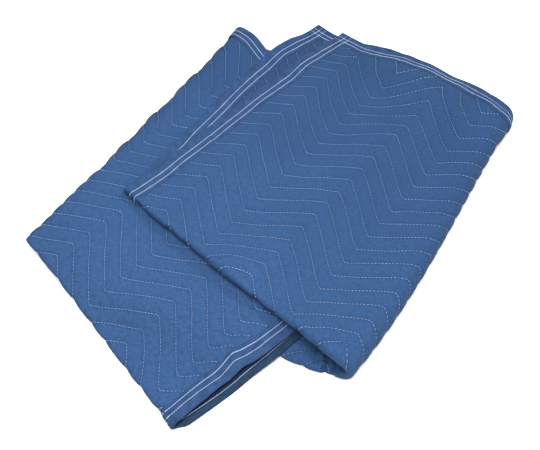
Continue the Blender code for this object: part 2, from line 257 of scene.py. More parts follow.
@dataclass(frozen=True)
class Bend:
    """One of the two letter folds, measured from its flap's hem.

    "Radii" are the bend's at the half fold and at the side hem, "reach" is where its swelling starts to fade
    and where it ends, and the fold runs out to a point by "corner" at the side hem. Times "bow_scale", the
    bow's curve comes to 1 where it is highest.
    """

    hem_distance: float
    slant: float
    bow: float
    radii: Pair
    reach: Pair
    corner: float
    corner_across: Pair = (0.595, 0.680)
    inset: float = 0.0065
    bow_scale: float = 27 / 4

    def distance(self, across: Array) -> Array:
        """The cloth from the hem to the fold, which bows out most a third of the way from the half fold.

        Args:
            across: the distances from the half fold.

        Returns:
            The distances from the hem.
        """
        way = np.clip(across / CLOTH.half_width, 0.0, 1.0)
        bow = self.bow * self.bow_scale * way * (1.0 - way) ** 2
        pointed = self.corner * eased(across, *self.corner_across)
        return self.hem_distance + self.slant * across + bow + pointed - self.inset

    def radius(self, across: Array) -> Array:
        """The radius of the bend."""
        near, far = self.radii
        return near + (far - near) * across / CLOTH.half_width

    def near(self, from_hem: Array, across: Array) -> Array:
        """1 at the fold and 0 where its swelling ends."""
        return 1.0 - eased(self.distance(across) - from_hem, *self.reach)


@dataclass(frozen=True)
class Hill:
    """A soft hill in the pile, and the lowest flap that rides over it."""

    place: Pair
    radius: float
    height: float
    lowest: Layer


@dataclass(frozen=True)
class Slip:
    """How far the inner ply slips against the outer one at a fold.

    The slip grows across the cloth, and it is undone along the run from its start to its end.
    """

    most: float
    growth: float
    start: float
    end: float
    way: float


@dataclass(frozen=True)
class HemDraw:
    """How far a hem is drawn in at places along it. It fades into the cloth.

    The places are the side on an end hem, and the run on a side hem.
    """

    hem: Hem
    draws: Points
    reach: float
    start: float = 0.030
    blur: float = 0.006
    blurred_over: int = 5

    def at(self, run: Array, side: Array) -> Array:
        """The draw at points of the flat cloth.

        Args:
            run: how far along the blanket.
            side: how far from its middle line.

        Returns:
            The distances that they move away from the hem.
        """
        place, from_hem, here = self.hem.sees(run, side)
        shares = np.linspace(-1.0, 1.0, self.blurred_over)
        drawn = sum(between(self.draws, place + share * self.blur) for share in shares) / len(shares)
        return drawn * (1.0 - ease((from_hem - self.start) / self.reach)) * here


@dataclass(frozen=True)
class Lift:
    """A stretch of a hem that stands up off what is below it, or droops where the height is negative."""

    hem: Hem
    heights: Points
    reach: float

    def at(self, run: Array, side: Array) -> Array:
        """The lift at points of the flat cloth."""
        place, from_hem, here = self.hem.sees(run, side)
        return between(self.heights, place) * (1.0 - ease(from_hem / self.reach)) * here


@dataclass(frozen=True)
class Nudge:
    """A soft push round one point of the flat cloth, along it, over it and outward."""

    place: Pair
    reach: Pair
    moved: Triple

    def share(self, run: Array, side: Array) -> Array:
        """The share of the push at points of the flat cloth."""
        along, over = (run - self.place[0]) / self.reach[0], (side - self.place[1]) / self.reach[1]
        return np.exp(-(along**2 + over**2))


@dataclass(frozen=True)
class Crease:
    """A pressed line in one ply, between two points of the flat cloth. A ridge has a negative depth."""

    start: Pair
    end: Pair
    width: float
    depth: float

    def at(self, run: Array, side: Array) -> Array:
        """The depth at points of the flat cloth.

        Args:
            run: how far along the blanket.
            side: how far from its middle line.

        Returns:
            The depths.
        """
        start, end = np.array(self.start), np.array(self.end)
        way = end - start
        length = float(np.hypot(*way))
        along = ((run - start[0]) * way[0] + (side - start[1]) * way[1]) / length
        off = ((run - start[0]) * way[1] - (side - start[1]) * way[0]) / length
        beyond = np.maximum(np.maximum(-along, along - length), 0.0)
        return self.depth * np.exp(-(off**2 + beyond**2) / self.width**2)


@dataclass(frozen=True)
class Ruffles:
    """Shallow uneven waves that the layers share."""

    seed: int = 11
    waves: int = 14
    shortest: float = 0.055
    longest: float = 0.190
    height: float = 0.0011
    raised: float = 0.0008

    def at(self, plan: Array) -> Array:
        """The waves' height over the floor plan.

        Args:
            plan: the points of the floor plan.

        Returns:
            The heights.
        """
        draw = np.random.default_rng(self.seed)
        total = np.zeros(plan.shape[:-1])
        for _ in range(self.waves):
            heading, phase = draw.uniform(0.0, 2 * math.pi, 2)
            length = draw.uniform(self.shortest, self.longest)
            way = plan @ np.array([math.cos(heading), math.sin(heading)])
            total = total + np.sin(way * 2 * math.pi / length + phase)
        return self.raised + self.height * total / math.sqrt(self.waves / 2)


@dataclass(frozen=True)
class Pile:
    """The folded pile: the place of each point of the flat blanket.

    Each flap is a strip of two plies. Strips lie on each other, and come down past the edges of those below.
    """

    draws: tuple[HemDraw, ...]
    lifts: tuple[Lift, ...]
    creases: tuple[Crease, ...]
    nudges: tuple[Nudge, ...]
    bottom: Flap = Flap(
        corner=(-0.188, -0.482),
        along=(-0.668, 0.740),
        across=(0.740, 0.661),
        twist=(0.003, 0.015),
        side_bow=-0.010,
        corner_draw=0.022,
    )
    top: Flap = Flap(
        corner=(-0.320, -0.024),
        along=(0.768, -0.664),
        across=(0.670, 0.726),
        twist=(-0.029, 0.028),
        side_bow=0.025,
        corner_draw=0.014,
    )
    left: Bend = Bend(
        hem_distance=0.4880,
        slant=0.214,
        bow=0.0,
        radii=(0.015, 0.019),
        reach=(0.030, 0.190),
        corner=0.007,
    )
    right: Bend = Bend(
        hem_distance=0.5666,
        slant=-0.135,
        bow=0.0145,
        radii=(0.020, 0.026),
        reach=(0.035, 0.170),
        corner=0.0075,
    )
    hills: tuple[Hill, ...] = (
        Hill((-0.405, -0.125), radius=0.090, height=0.010, lowest=Layer.BOTTOM),
        Hill((0.045, -0.330), radius=0.080, height=0.012, lowest=Layer.TOP),
        Hill((0.345, 0.265), radius=0.130, height=0.018, lowest=Layer.TOP),
    )
    slips: tuple[Slip, ...] = (
        Slip(most=0.022, growth=0.10, start=0.50, end=0.85, way=-1.0),
        Slip(most=0.072, growth=0.28, start=1.25, end=0.60, way=1.0),
    )
    ruffles: Ruffles = Ruffles()
    bulges: Points = (
        (0.0, 0.0085), (0.13, 0.0065), (0.28, 0.0015), (0.38, -0.001),
        (0.95, 0.0), (1.06, 0.008), (1.17, 0.008), (1.24, 0.0),
    )
    bulge_fade: float = 0.026
    nudge_edge: float = 0.036
    edge_lift: float = 0.005
    edge_reach: float = 0.060
    fold_loft: float = 0.003
    fold_loft_reach: float = 0.016
    fold_loft_start: float = 0.06
    fall_start: float = 0.006
    bottom_fall: float = 0.100
    top_fall_past_middle: float = 0.090
    top_fall_past_bottom: float = 0.130
    ply_pitch: float = 0.008
    floor_strip: float = 0.0070
    handle: float = 4 / 3
    step: float = 0.002

    @property
    def strip_pitch(self) -> float:
        """From the middle of one two-ply strip to the next."""
        return 2 * self.ply_pitch

    @property
    def half_fold_radius(self) -> float:
        """The radius of the half fold."""
        return self.ply_pitch / 2

    def fold_line(self, flap: Flap, bend: Bend) -> Array:
        """The two ends of a letter fold on the floor plan, from the half fold to the side hem."""
        ends = np.array([0.0, CLOTH.half_width])
        return flap.plan(bend.distance(ends), ends)

    def middle_corners(self) -> list[Array]:
        """The corners of the middle panel on the floor plan, anticlockwise."""
        left, right = self.fold_line(self.bottom, self.left), self.fold_line(self.top, self.right)
        return [left[0], right[0], right[1], left[1]]

    def bottom_corners(self) -> list[Array]:
        """The corners of the bottom flap on the floor plan.

        Returns:
            The corners, anticlockwise.
        """
        hem = self.bottom.plan(np.full(2, -self.slips[0].most), np.array([0.0, CLOTH.half_width]))
        fold = self.fold_line(self.bottom, self.left)
        return [hem[0], hem[1], fold[1], fold[0]]

    def held_up(self, plan: Array, corners: list[Array], fall: float) -> Array:
        """1 over a convex outline and falling to 0 outside it.

        Args:
            plan: the points of the floor plan.
            corners: the outline's corners, anticlockwise.
            fall: over what distance the cloth comes down outside it.

        Returns:
            The share of the outline's height at each point.
        """
        share = np.ones(plan.shape[:-1])
        for start, end in zip(corners, corners[1:] + corners[:1]):
            run = unit(end - start)
            outside = (plan - start) @ np.array([run[1], -run[0]])
            share = share * (1.0 - ease((outside - self.fall_start) / fall))
        return share

    def swell(self, plan: Array, layer: Layer) -> Array:
        """The hills and the waves under a flap.

        Args:
            plan: the points of the floor plan.
            layer: the flap.

        Returns:
            Their height at each point.
        """
        height = self.ruffles.at(plan)
        for hill in self.hills:
            if hill.lowest <= layer:
                square = ((plan - np.array(hill.place)) ** 2).sum(axis=-1)
                height = height + hill.height * np.exp(-square / hill.radius**2)
        return height

    def left_swelling(self, from_hem: Array, across: Array) -> Array:
        """How far the left fold holds its flap up."""
        return (2.0 * self.left.radius(across) - self.strip_pitch) * self.left.near(from_hem, across)

    def bottom_flap(self, run: Array, across: Array) -> Array:
        """The bottom flap's strip.

        Args:
            run: the distances along the strip.
            across: the distances from the half fold.

        Returns:
            The points in space.
        """
        plan = self.bottom.plan(self.bottom.drawn(run, across), across)
        over_middle = self.held_up(plan, self.middle_corners(), self.bottom_fall)
        support = 1.0 - (1.0 - over_middle) * (1.0 - self.left.near(run, across))
        level = self.floor_strip + self.strip_pitch * support
        return joined(plan, level + self.left_swelling(run, across) + self.swell(plan, Layer.BOTTOM))

    def top_flap(self, run: Array, across: Array) -> Array:
        """The top flap's strip.

        Args:
            run: the distances along the strip.
            across: the distances from the half fold.

        Returns:
            The points in space.
        """
        from_hem = CLOTH.length - run
        plan = self.top.plan(self.top.drawn(from_hem, across), across)
        over_middle = self.held_up(plan, self.middle_corners(), self.top_fall_past_middle)
        over_bottom = self.held_up(plan, self.bottom_corners(), self.top_fall_past_bottom)
        bend = self.right.near(from_hem, across)
        lift = (2.0 * self.right.radius(across) - 2 * self.strip_pitch) * bend
        below = self.left_swelling(*self.bottom.coordinates(plan)) * over_bottom
        middle = 1.0 - (1.0 - over_middle) * (1.0 - bend)
        bottom = 1.0 - (1.0 - over_bottom) * (1.0 - bend)
        spring = self.edge_lift * (1.0 - ease(across / self.edge_reach))
        level = self.floor_strip + self.strip_pitch * (middle + bottom)
        return joined(plan, level + lift + below + spring + self.swell(plan, Layer.TOP))

    def half_turn(self, ends: tuple[Array, Array], ways: tuple[Array, Array], share: Array) -> Array:
        """A half turn from one run of cloth to the next, as a cubic curve.

        Args:
            ends: where the turn starts and ends.
            ways: how the cloth leaves the start, and how it comes in at the end.
            share: how far round each point is, from 0 to 1.

        Returns:
            The points of the turn.
        """
        share = share[..., None]
        rest = 1.0 - share
        first, second = ends[0] + ways[0], ends[1] - ways[1]
        handles = 3 * rest**2 * share * first, 3 * rest * share**2 * second
        return rest**3 * ends[0] + handles[0] + handles[1] + share**3 * ends[1]

    def strip(self, run: Array, across: Array) -> Array:
        """The middle surface of the folded two-ply strip.

        Args:
            run: the distances along the strip.
            across: the distances from the half fold.

        Returns:
            The points in space.
        """
        left, right = self.left.radius(across), self.right.radius(across)
        left_start = self.left.distance(across) - left
        left_end = left_start + math.pi * left
        right_end = CLOTH.length - self.right.distance(across) + right
        right_start = right_end - math.pi * right
        left_tip = self.bottom.plan(self.left.distance(across), across)
        right_tip = self.top.plan(self.right.distance(across), across)
        way = unit(right_tip - left_tip)
        floor = np.full(across.shape, self.floor_strip)
        middle_start = joined(left_tip + left[..., None] * way, floor)
        middle_end = joined(right_tip - right[..., None] * way, floor)
        flat_way = joined(way, np.zeros(across.shape))
        bottom_end = self.bottom_flap(left_start, across)
        bottom_way = unit(bottom_end - self.bottom_flap(left_start - self.step, across))
        top_start = self.top_flap(right_end, across)
        top_way = unit(self.top_flap(right_end + self.step, across) - top_start)
        middle_share = (run - left_end) / (right_start - left_end)
        middle = middle_start + middle_share[..., None] * (middle_end - middle_start)
        left_reach, right_reach = self.handle * left[..., None], self.handle * right[..., None]
        left_bend = self.half_turn(
            (bottom_end, middle_start),
            (left_reach * bottom_way, left_reach * flat_way),
            (run - left_start) / (left_end - left_start),
        )
        right_bend = self.half_turn(
            (middle_end, top_start),
            (right_reach * flat_way, right_reach * top_way),
            (run - right_start) / (right_end - right_start),
        )
        place = np.where((run < left_start)[..., None], self.bottom_flap(run, across), left_bend)
        place = np.where((run > left_end)[..., None], middle, place)
        place = np.where((run > right_start)[..., None], right_bend, place)
        return np.where((run > right_end)[..., None], self.top_flap(run, across), place)

    def slipped(self, run: Array, across: Array, side: Array) -> Array:
        """The inner ply's place along the strip.

        Args:
            run: how far along the blanket.
            across: the distances from the half fold.
            side: the distances from the middle line, above 0 in the inner ply.

        Returns:
            The distances along the strip.
        """
        inner = np.where(side > 0, np.maximum(across, 0.0), 0.0)
        for slip in self.slips:
            amount = slip.most * (1.0 - np.exp(-inner / slip.growth))
            run = run + slip.way * amount * (1.0 - eased(run, slip.start, slip.end))
        return run

    def drawn_in(self, run: Array, side: Array) -> tuple[Array, Array]:
        """The flat cloth with its hems drawn in and its nudges.

        Args:
            run: how far along the blanket.
            side: how far from its middle line.

        Returns:
            Both distances, moved.
        """
        moved_run, moved_side = run, side
        in_field = ease((CLOTH.half_width - np.abs(side)) / self.nudge_edge - 1.0)
        for nudge in self.nudges:
            share = nudge.share(run, side) * in_field
            moved_run, moved_side = moved_run + share * nudge.moved[0], moved_side + share * nudge.moved[1]
        for draw in self.draws:
            drawn = draw.at(run, side)
            if draw.hem.at_end:
                moved_run = moved_run + (drawn if draw.hem is Hem.FIRST_END else -drawn)
            else:
                moved_side = moved_side - np.sign(side) * drawn
        return moved_run, moved_side

    def raised(self, run: Array, side: Array) -> Array:
        """How far the lifts, creases and nudges move a ply along its outward way.

        Args:
            run: how far along the blanket.
            side: how far from its middle line.

        Returns:
            The distances outward.
        """
        total = np.zeros(run.shape)
        for lift in self.lifts:
            total = total + lift.at(run, side)
        for crease in self.creases:
            total = total - crease.at(run, side)
        for nudge in self.nudges:
            total = total + nudge.share(run, side) * nudge.moved[2]
        return total

    def folded(self, run: Array, side: Array) -> tuple[Array, Array]:
        """The place of points of the flat blanket in the pile.

        Args:
            run: how far along the blanket.
            side: how far from its middle line.

        Returns:
            The places, and the way that the outer face looks there.
        """
        radius = self.half_fold_radius
        raised = self.raised(run, side)
        run, side = self.drawn_in(run, side)
        turn = np.clip(side / radius, -math.pi / 2, math.pi / 2)
        past = np.maximum(np.abs(side) - radius * math.pi / 2, 0.0)
        across = past + radius * (1.0 - np.cos(turn))
        bulge = between(self.bulges, run) * np.exp(-across / self.bulge_fade)
        run = self.slipped(run, across, side)
        across = across - bulge
        place = self.strip(run, across)
        along_way = self.strip(run + self.step, across) - self.strip(run - self.step, across)
        across_way = unit(self.strip(run, across + self.step) - self.strip(run, across - self.step))
        up = unit(np.cross(along_way, across_way))
        sine, cosine = np.sin(turn)[..., None], np.cos(turn)[..., None]
        outward = sine * up - cosine * across_way
        on_top = ease((run - CLOTH.length + self.right.hem_distance) / self.fold_loft_start)
        loft = self.fold_loft * on_top * (1.0 - ease(across / self.fold_loft_reach))
        height = (radius + loft)[..., None]
        return place + height * sine * up + raised[..., None] * outward, outward


class Nodes:
    """A material's node tree, with a short call for each kind of node."""

    def __init__(self, name: str) -> None:
        """Starts a material with a Principled shader.

        Args:
            name: the material's name.
        """
        self.material = bpy.data.materials.new(name)
        self.material.use_nodes = True
        self.tree = self.material.node_tree
        self.shader = self.tree.nodes["Principled BSDF"]

    def feed(self, socket: Socket, value: object) -> None:
        """Links another socket to this one, or sets its value.

        Args:
            socket: the socket to feed.
            value: the other socket or the value.
        """
        if isinstance(value, Socket):
            self.tree.links.new(value, socket)
        else:
            socket.default_value = value

    def node(self, kind: str, inputs: dict[Key, object], **settings: object) -> Outputs:
        """A new node.

        Args:
            kind: the kind of node.
            inputs: what each of its inputs gets, by name or number.
            settings: its settings.

        Returns:
            Its outputs.
        """
        made = self.tree.nodes.new(kind)
        for key, value in settings.items():
            setattr(made, key, value)
        for key, value in inputs.items():
            self.feed(made.inputs[key], value)
        return made.outputs

    def math(self, operation: str, *values: object) -> Socket:
        """A Math node's result."""
        return self.node("ShaderNodeMath", dict(enumerate(values)), operation=operation)[0]

    def times(self, first: object, second: object) -> Socket:
        """A product."""
        return self.math("MULTIPLY", first, second)

    def plus(self, first: object, second: object) -> Socket:
        """A sum."""
        return self.math("ADD", first, second)

    def uv(self, name: str) -> Socket:
        """A named UV map."""
        return self.node("ShaderNodeUVMap", {}, uv_map=name)[0]

    def place(self) -> Socket:
        """The object's own coordinates."""
        return self.node("ShaderNodeTexCoord", {})["Object"]

    def scaled(self, vector: Socket, scale: Triple) -> Socket:
        """A vector, scaled along each axis."""
        return self.node("ShaderNodeMapping", {"Vector": vector, "Scale": scale})[0]

    def noise(self, vector: Socket, scale: float, detail: float) -> Socket:
        """A Noise Texture's factor."""
        return self.node("ShaderNodeTexNoise", {"Vector": vector, "Scale": scale, "Detail": detail})["Fac"]

    def ranged(self, value: Socket, given: Pair, wanted: Pair) -> Socket:
        """A value carried from one range to another, and kept inside it."""
        return self.node("ShaderNodeMapRange", dict(enumerate((value, *given, *wanted))))[0]

    def mixed(self, share: object, first: object, second: object, blend: str = "MIX") -> Socket:
        """Two colours mixed by a share."""
        inputs = {0: share, 6: first, 7: second}
        return self.node("ShaderNodeMix", inputs, data_type="RGBA", blend_type=blend)[2]

    def split(self, vector: Socket) -> list[Socket]:
        """A vector's three numbers."""
        return list(self.node("ShaderNodeSeparateXYZ", {0: vector}))

    def wave(self, way: Socket, length: float) -> Socket:
        """A wave from 0 to 1 along a distance."""
        turned = self.times(way, 2 * math.pi / length)
        return self.math("MULTIPLY_ADD", self.math("SINE", turned), 0.5, 0.5)

    def weave(self, vector: Socket, thread: float) -> Socket:
        """The height of a plain weave, from 0 to 1.

        Args:
            vector: the cloth's own coordinates, in metres.
            thread: from one thread to the next.

        Returns:
            The height.
        """
        run, side, _ = self.split(vector)
        warp = self.math("SINE", self.times(run, math.pi / thread))
        weft = self.math("SINE", self.times(side, math.pi / thread))
        return self.math("MULTIPLY_ADD", self.times(warp, weft), 0.5, 0.5)

    def bumped(self, height: Socket, distance: float) -> None:
        """Gives the shader a bump from a height."""
        bump = self.node("ShaderNodeBump", {"Strength": 1.0, "Distance": distance, "Height": height})
        self.feed(self.shader.inputs["Normal"], bump[0])

    def dressed(self, colour: object, roughness: object, sheen: float, specular: float) -> Material:
        """Sets the shader's colour and gloss, and gives the finished material.

        Args:
            colour: the base colour.
            roughness: how rough it is.
            sheen: how much fuzz shows.
            specular: how much it shines.

        Returns:
            The material.
        """
        values = {
            "Base Color": colour,
            "Roughness": roughness,
            "Sheen Weight": sheen,
            "Sheen Roughness": 0.5,
            "Specular IOR Level": specular,
        }
        for key, value in values.items():
            self.feed(self.shader.inputs[key], value)
        return self.material


FLAT_MAP = "flat_cloth"
LINE_MAP = "quilting_lines"
NOISE_SPREAD = (0.3, 0.7)


@dataclass(frozen=True)
class QuiltedFinish:
    """Brushed cloth: a fine weave, mottling, and puckers along the stitched lines.

    Each "spread" is the stretch of a noise over which it takes effect, and each "height" is a share of the
    bump.
    """

    name: str
    light: Colour
    dark: Colour
    tint: Colour
    mottle: float
    mottle_scale: float = 150.0
    mottle_spread: Pair = (0.42, 0.62)
    patch_scale: float = 9.0
    patch_spread: Pair = (0.35, 0.65)
    patch_wear: Pair = (0.20, 0.55)
    # Painted light falloff: the dark colour's share grows toward the far right of the pile, in object
    # coordinates, as the light falls off there.
    painted_falloff: float = 0.75
    painted_falloff_slant: float = 0.6
    grain: float = 0.60
    grain_scale: float = 620.0
    grain_spread: Pair = (0.38, 0.66)
    # Painted shade: within this reach of a stitched line the colour is darkened, down to the factor below at
    # the line, where the valleys lie in shade.
    valley: Pair = (0.0010, 0.0075)
    painted_valley_shade: float = 0.86
    pucker_reach: float = 0.0075
    pucker_length: float = 0.0075
    pucker_narrowing: float = 1.2
    pucker_scale: float = 0.9
    pucker_fade: float = 1.5
    pucker_height: float = 1.6
    crumple_scale: float = 75.0
    crumple_height: float = 2.0
    thread: float = 0.0011
    weave_height: float = 0.06
    grain_height: float = 0.20
    bump: float = 0.0022
    rough: Pair = (0.82, 0.94)
    sheen: float = 0.02
    specular: float = 0.08

    def shade(self, n: Nodes, grain: Socket, mottle: Socket, from_line: Socket) -> Socket:
        """The cloth's colour: random patches, a painted light falloff that darkens it toward the far right,
        mottling, grain, and painted shade in the valleys along the lines.

        Args:
            n: the material's nodes.
            grain: the fine noise.
            mottle: the middling noise.
            from_line: the distance from the nearest stitched line.

        Returns:
            The colour.
        """
        patches = n.noise(n.place(), self.patch_scale, detail=3.0)
        # Painted light falloff, darker toward the far right, added to the random patches.
        x, y, _ = n.split(n.place())
        far = n.times(n.math("MULTIPLY_ADD", x, self.painted_falloff_slant, y), self.painted_falloff)
        patches_and_painted_falloff = n.plus(n.ranged(patches, self.patch_spread, self.patch_wear), far)
        shade = n.mixed(patches_and_painted_falloff, self.light, self.dark)
        shade = n.mixed(n.ranged(mottle, self.mottle_spread, (0.0, self.mottle)), shade, self.tint)
        shade = n.mixed(n.ranged(grain, self.grain_spread, (0.0, self.grain)), shade, self.dark)
        # Painted shade in the valleys beside the stitched lines.
        valley = n.ranged(from_line, self.valley, (self.painted_valley_shade, 1.0))
        painted_valley_grey = n.node("ShaderNodeCombineColor", {0: valley, 1: valley, 2: valley})[0]
        return n.mixed(1.0, shade, painted_valley_grey, "MULTIPLY")

    def material(self, quilting: Quilting) -> Material:
        """Builds the material.

        Args:
            quilting: the lines that the puckers follow.

        Returns:
            The material.
        """
        n = Nodes(self.name)
        flat, lines = n.uv(FLAT_MAP), n.uv(LINE_MAP)
        from_line = n.times(n.math("PINGPONG", n.split(lines)[1], 0.5), quilting.pitch)
        close = n.math("POWER", n.ranged(from_line, (0.0, self.pucker_reach), (1.0, 0.0)), self.pucker_fade)
        grain = n.noise(flat, self.grain_scale, detail=2.0)
        mottle = n.noise(flat, self.mottle_scale, detail=4.0)
        gathers = n.scaled(lines, (1.0 / self.pucker_length, self.pucker_narrowing, 1.0))
        creases = n.noise(gathers, self.pucker_scale, detail=2.0)
        puckers = n.times(n.times(creases, close), self.pucker_height)
        crumple = n.times(n.noise(flat, self.crumple_scale, detail=4.0), self.crumple_height)
        weave = n.weave(flat, self.thread)
        fine = n.math("MULTIPLY_ADD", weave, self.weave_height, n.times(grain, self.grain_height))
        n.bumped(n.plus(n.plus(puckers, crumple), fine), self.bump)
        roughness = n.ranged(mottle, NOISE_SPREAD, self.rough)
        return n.dressed(self.shade(n, grain, mottle, from_line), roughness, self.sheen, self.specular)


@dataclass(frozen=True)
class BindingFinish:
    """Closely woven edging with a slight slanting rib, and painted shade on the inner ply's edging at its
    first end, where it lies under the outer ply's rim.
    """

    name: str
    light: Colour
    dark: Colour
    # Painted shade: the colour that the inner ply's edging near the first end is multiplied by, as it lies in
    # shade under the outer ply's rim.
    soiling_and_painted_shade: Colour = (0.72, 0.66, 0.58, 1.0)
    painted_shade_side: Pair = (-0.004, 0.004)
    painted_shade_run: Pair = (0.05, 0.09)
    wear_scale: float = 60.0
    wear_spread: Pair = (0.35, 0.68)
    grain: float = 0.4
    grain_scale: float = 640.0
    grain_spread: Pair = (0.35, 0.70)
    crumple_scale: float = 70.0
    crumple_height: float = 0.9
    rib: float = 0.0016
    rib_height: float = 0.08
    grain_height: float = 0.10
    bump: float = 0.0016
    rough: Pair = (0.78, 0.92)
    sheen: float = 0.02
    specular: float = 0.08

    def material(self) -> Material:
        """Builds the material.

        Returns:
            The material.
        """
        n = Nodes(self.name)
        flat = n.uv(FLAT_MAP)
        run, side, _ = n.split(flat)
        rib = n.wave(n.plus(run, side), self.rib)
        grain = n.noise(flat, self.grain_scale, detail=2.0)
        wear = n.noise(flat, self.wear_scale, detail=4.0)
        shade = n.mixed(n.ranged(wear, self.wear_spread, (0.0, 1.0)), self.light, self.dark)
        shade = n.mixed(n.ranged(grain, self.grain_spread, (0.0, self.grain)), shade, self.dark)
        # Painted shade: the inner ply's edging near the first end is multiplied darker.
        in_ply = n.ranged(side, self.painted_shade_side, (0.0, 1.0))
        at_end = n.ranged(run, self.painted_shade_run, (1.0, 0.0))
        shade = n.mixed(n.times(in_ply, at_end), shade, self.soiling_and_painted_shade, "MULTIPLY")
        crumple = n.times(n.noise(flat, self.crumple_scale, detail=3.0), self.crumple_height)
        fine = n.math("MULTIPLY_ADD", rib, self.rib_height, n.times(grain, self.grain_height))
        n.bumped(n.plus(crumple, fine), self.bump)
        roughness = n.ranged(wear, NOISE_SPREAD, self.rough)
        return n.dressed(shade, roughness, self.sheen, self.specular)


@dataclass(frozen=True)
class ThreadFinish:
    """Twisted sewing thread, a little soiled here and there."""

    name: str
    light: Colour
    dark: Colour
    twist: float = 0.0009
    twist_shade: float = 0.25
    twist_bump: float = 0.0003
    soiling_scale: float = 30.0
    soiling_spread: Pair = (0.35, 0.65)
    rough: float = 0.7
    sheen: float = 0.05
    specular: float = 0.20

    def material(self) -> Material:
        """Builds the material.

        Returns:
            The material.
        """
        n = Nodes(self.name)
        flat = n.uv(FLAT_MAP)
        run, side, _ = n.split(flat)
        strands = n.wave(n.math("SUBTRACT", run, side), self.twist)
        soiling_and_painted_shade = n.noise(flat, self.soiling_scale, detail=3.0)
        shade = n.mixed(n.ranged(soiling_and_painted_shade, self.soiling_spread, (0.0, 1.0)), self.light, self.dark)
        shade = n.mixed(n.times(strands, self.twist_shade), shade, self.dark)
        n.bumped(strands, self.twist_bump)
        return n.dressed(shade, self.rough, self.sheen, self.specular)


@dataclass(frozen=True)
class FloorFinish:
    """A plain pale floor with faint clouds."""

    name: str = "pale_floor"
    colour: Colour = (0.99, 0.99, 0.99, 1.0)
    cloud: Colour = (0.96, 0.96, 0.96, 1.0)
    cloud_scale: float = 3.0
    cloud_share: float = 0.03
    rough: float = 0.9
    specular: float = 0.1

    def material(self) -> Material:
        """Builds the material.

        Returns:
            The material.
        """
        n = Nodes(self.name)
        clouds = n.noise(n.place(), self.cloud_scale, detail=2.0)
        cloudy = n.ranged(clouds, NOISE_SPREAD, (0.0, self.cloud_share))
        return n.dressed(n.mixed(cloudy, self.colour, self.cloud), self.rough, 0.0, self.specular)


def shown(name: str, data: bpy.types.ID) -> Piece:
    """A new object in the scene.

    Args:
        name: the object's name.
        data: its mesh, light or camera.

    Returns:
        The object.
    """
    piece = bpy.data.objects.new(name, data)
    bpy.context.scene.collection.objects.link(piece)
    return piece


def mesh_of(name: str, body: Body) -> bpy.types.Mesh:
    """A mesh made from a bmesh.

    Args:
        name: the mesh's name.
        body: the bmesh, which is freed.

    Returns:
        The mesh.
    """
    mesh = bpy.data.meshes.new(name)
    body.to_mesh(mesh)
    body.free()
    return mesh


def cut(body: Body, place: Triple, facing: Triple, trim: bool = False, snap: float = 0.0003) -> None:
    """Cuts a flat sheet along a plane.

    Args:
        body: the sheet.
        place: a point of the plane.
        facing: the way that it faces.
        trim: whether what lies beyond the plane goes.
        snap: how near the plane a point counts as lying on it.
    """
    geom = body.verts[:] + body.edges[:] + body.faces[:]
    bmesh.ops.bisect_plane(body, geom=geom, dist=snap, plane_co=place, plane_no=facing, clear_outer=trim)


class FlatMesh:
    """A piece worked out on the flat blanket, before it takes its place in the pile."""

    def __init__(self, name: str, body: Body) -> None:
        """Makes the mesh and reads its points and the point of each face corner.

        Args:
            name: the piece's name.
            body: its bmesh, which is freed.
        """
        self.name = name
        self.mesh = mesh_of(name, body)
        points = np.empty(len(self.mesh.vertices) * 3, np.float32)
        self.mesh.vertices.foreach_get("co", points)
        self.points = points.reshape(-1, 3).astype(float)
        self.corners = np.empty(len(self.mesh.loops), np.int32)
        self.mesh.loops.foreach_get("vertex_index", self.corners)

    def add_map(self, name: str, first: Array, second: Array) -> None:
        """Adds a UV map with two numbers for each point of the mesh."""
        layer = self.mesh.uv_layers.new(name=name)
        layer.uv.foreach_set("vector", np.stack([first, second], -1)[self.corners].astype(np.float32).ravel())

    def placed(self, places: Array, materials: list[Material]) -> Piece:
        """Puts the points in their places and makes a smooth object.

        Args:
            places: the place of each point.
            materials: the piece's materials.

        Returns:
            The object.
        """
        self.mesh.vertices.foreach_set("co", places.astype(np.float32).ravel())
        for material in materials:
            self.mesh.materials.append(material)
        self.mesh.shade_smooth()
        self.mesh.update()
        return shown(self.name, self.mesh)


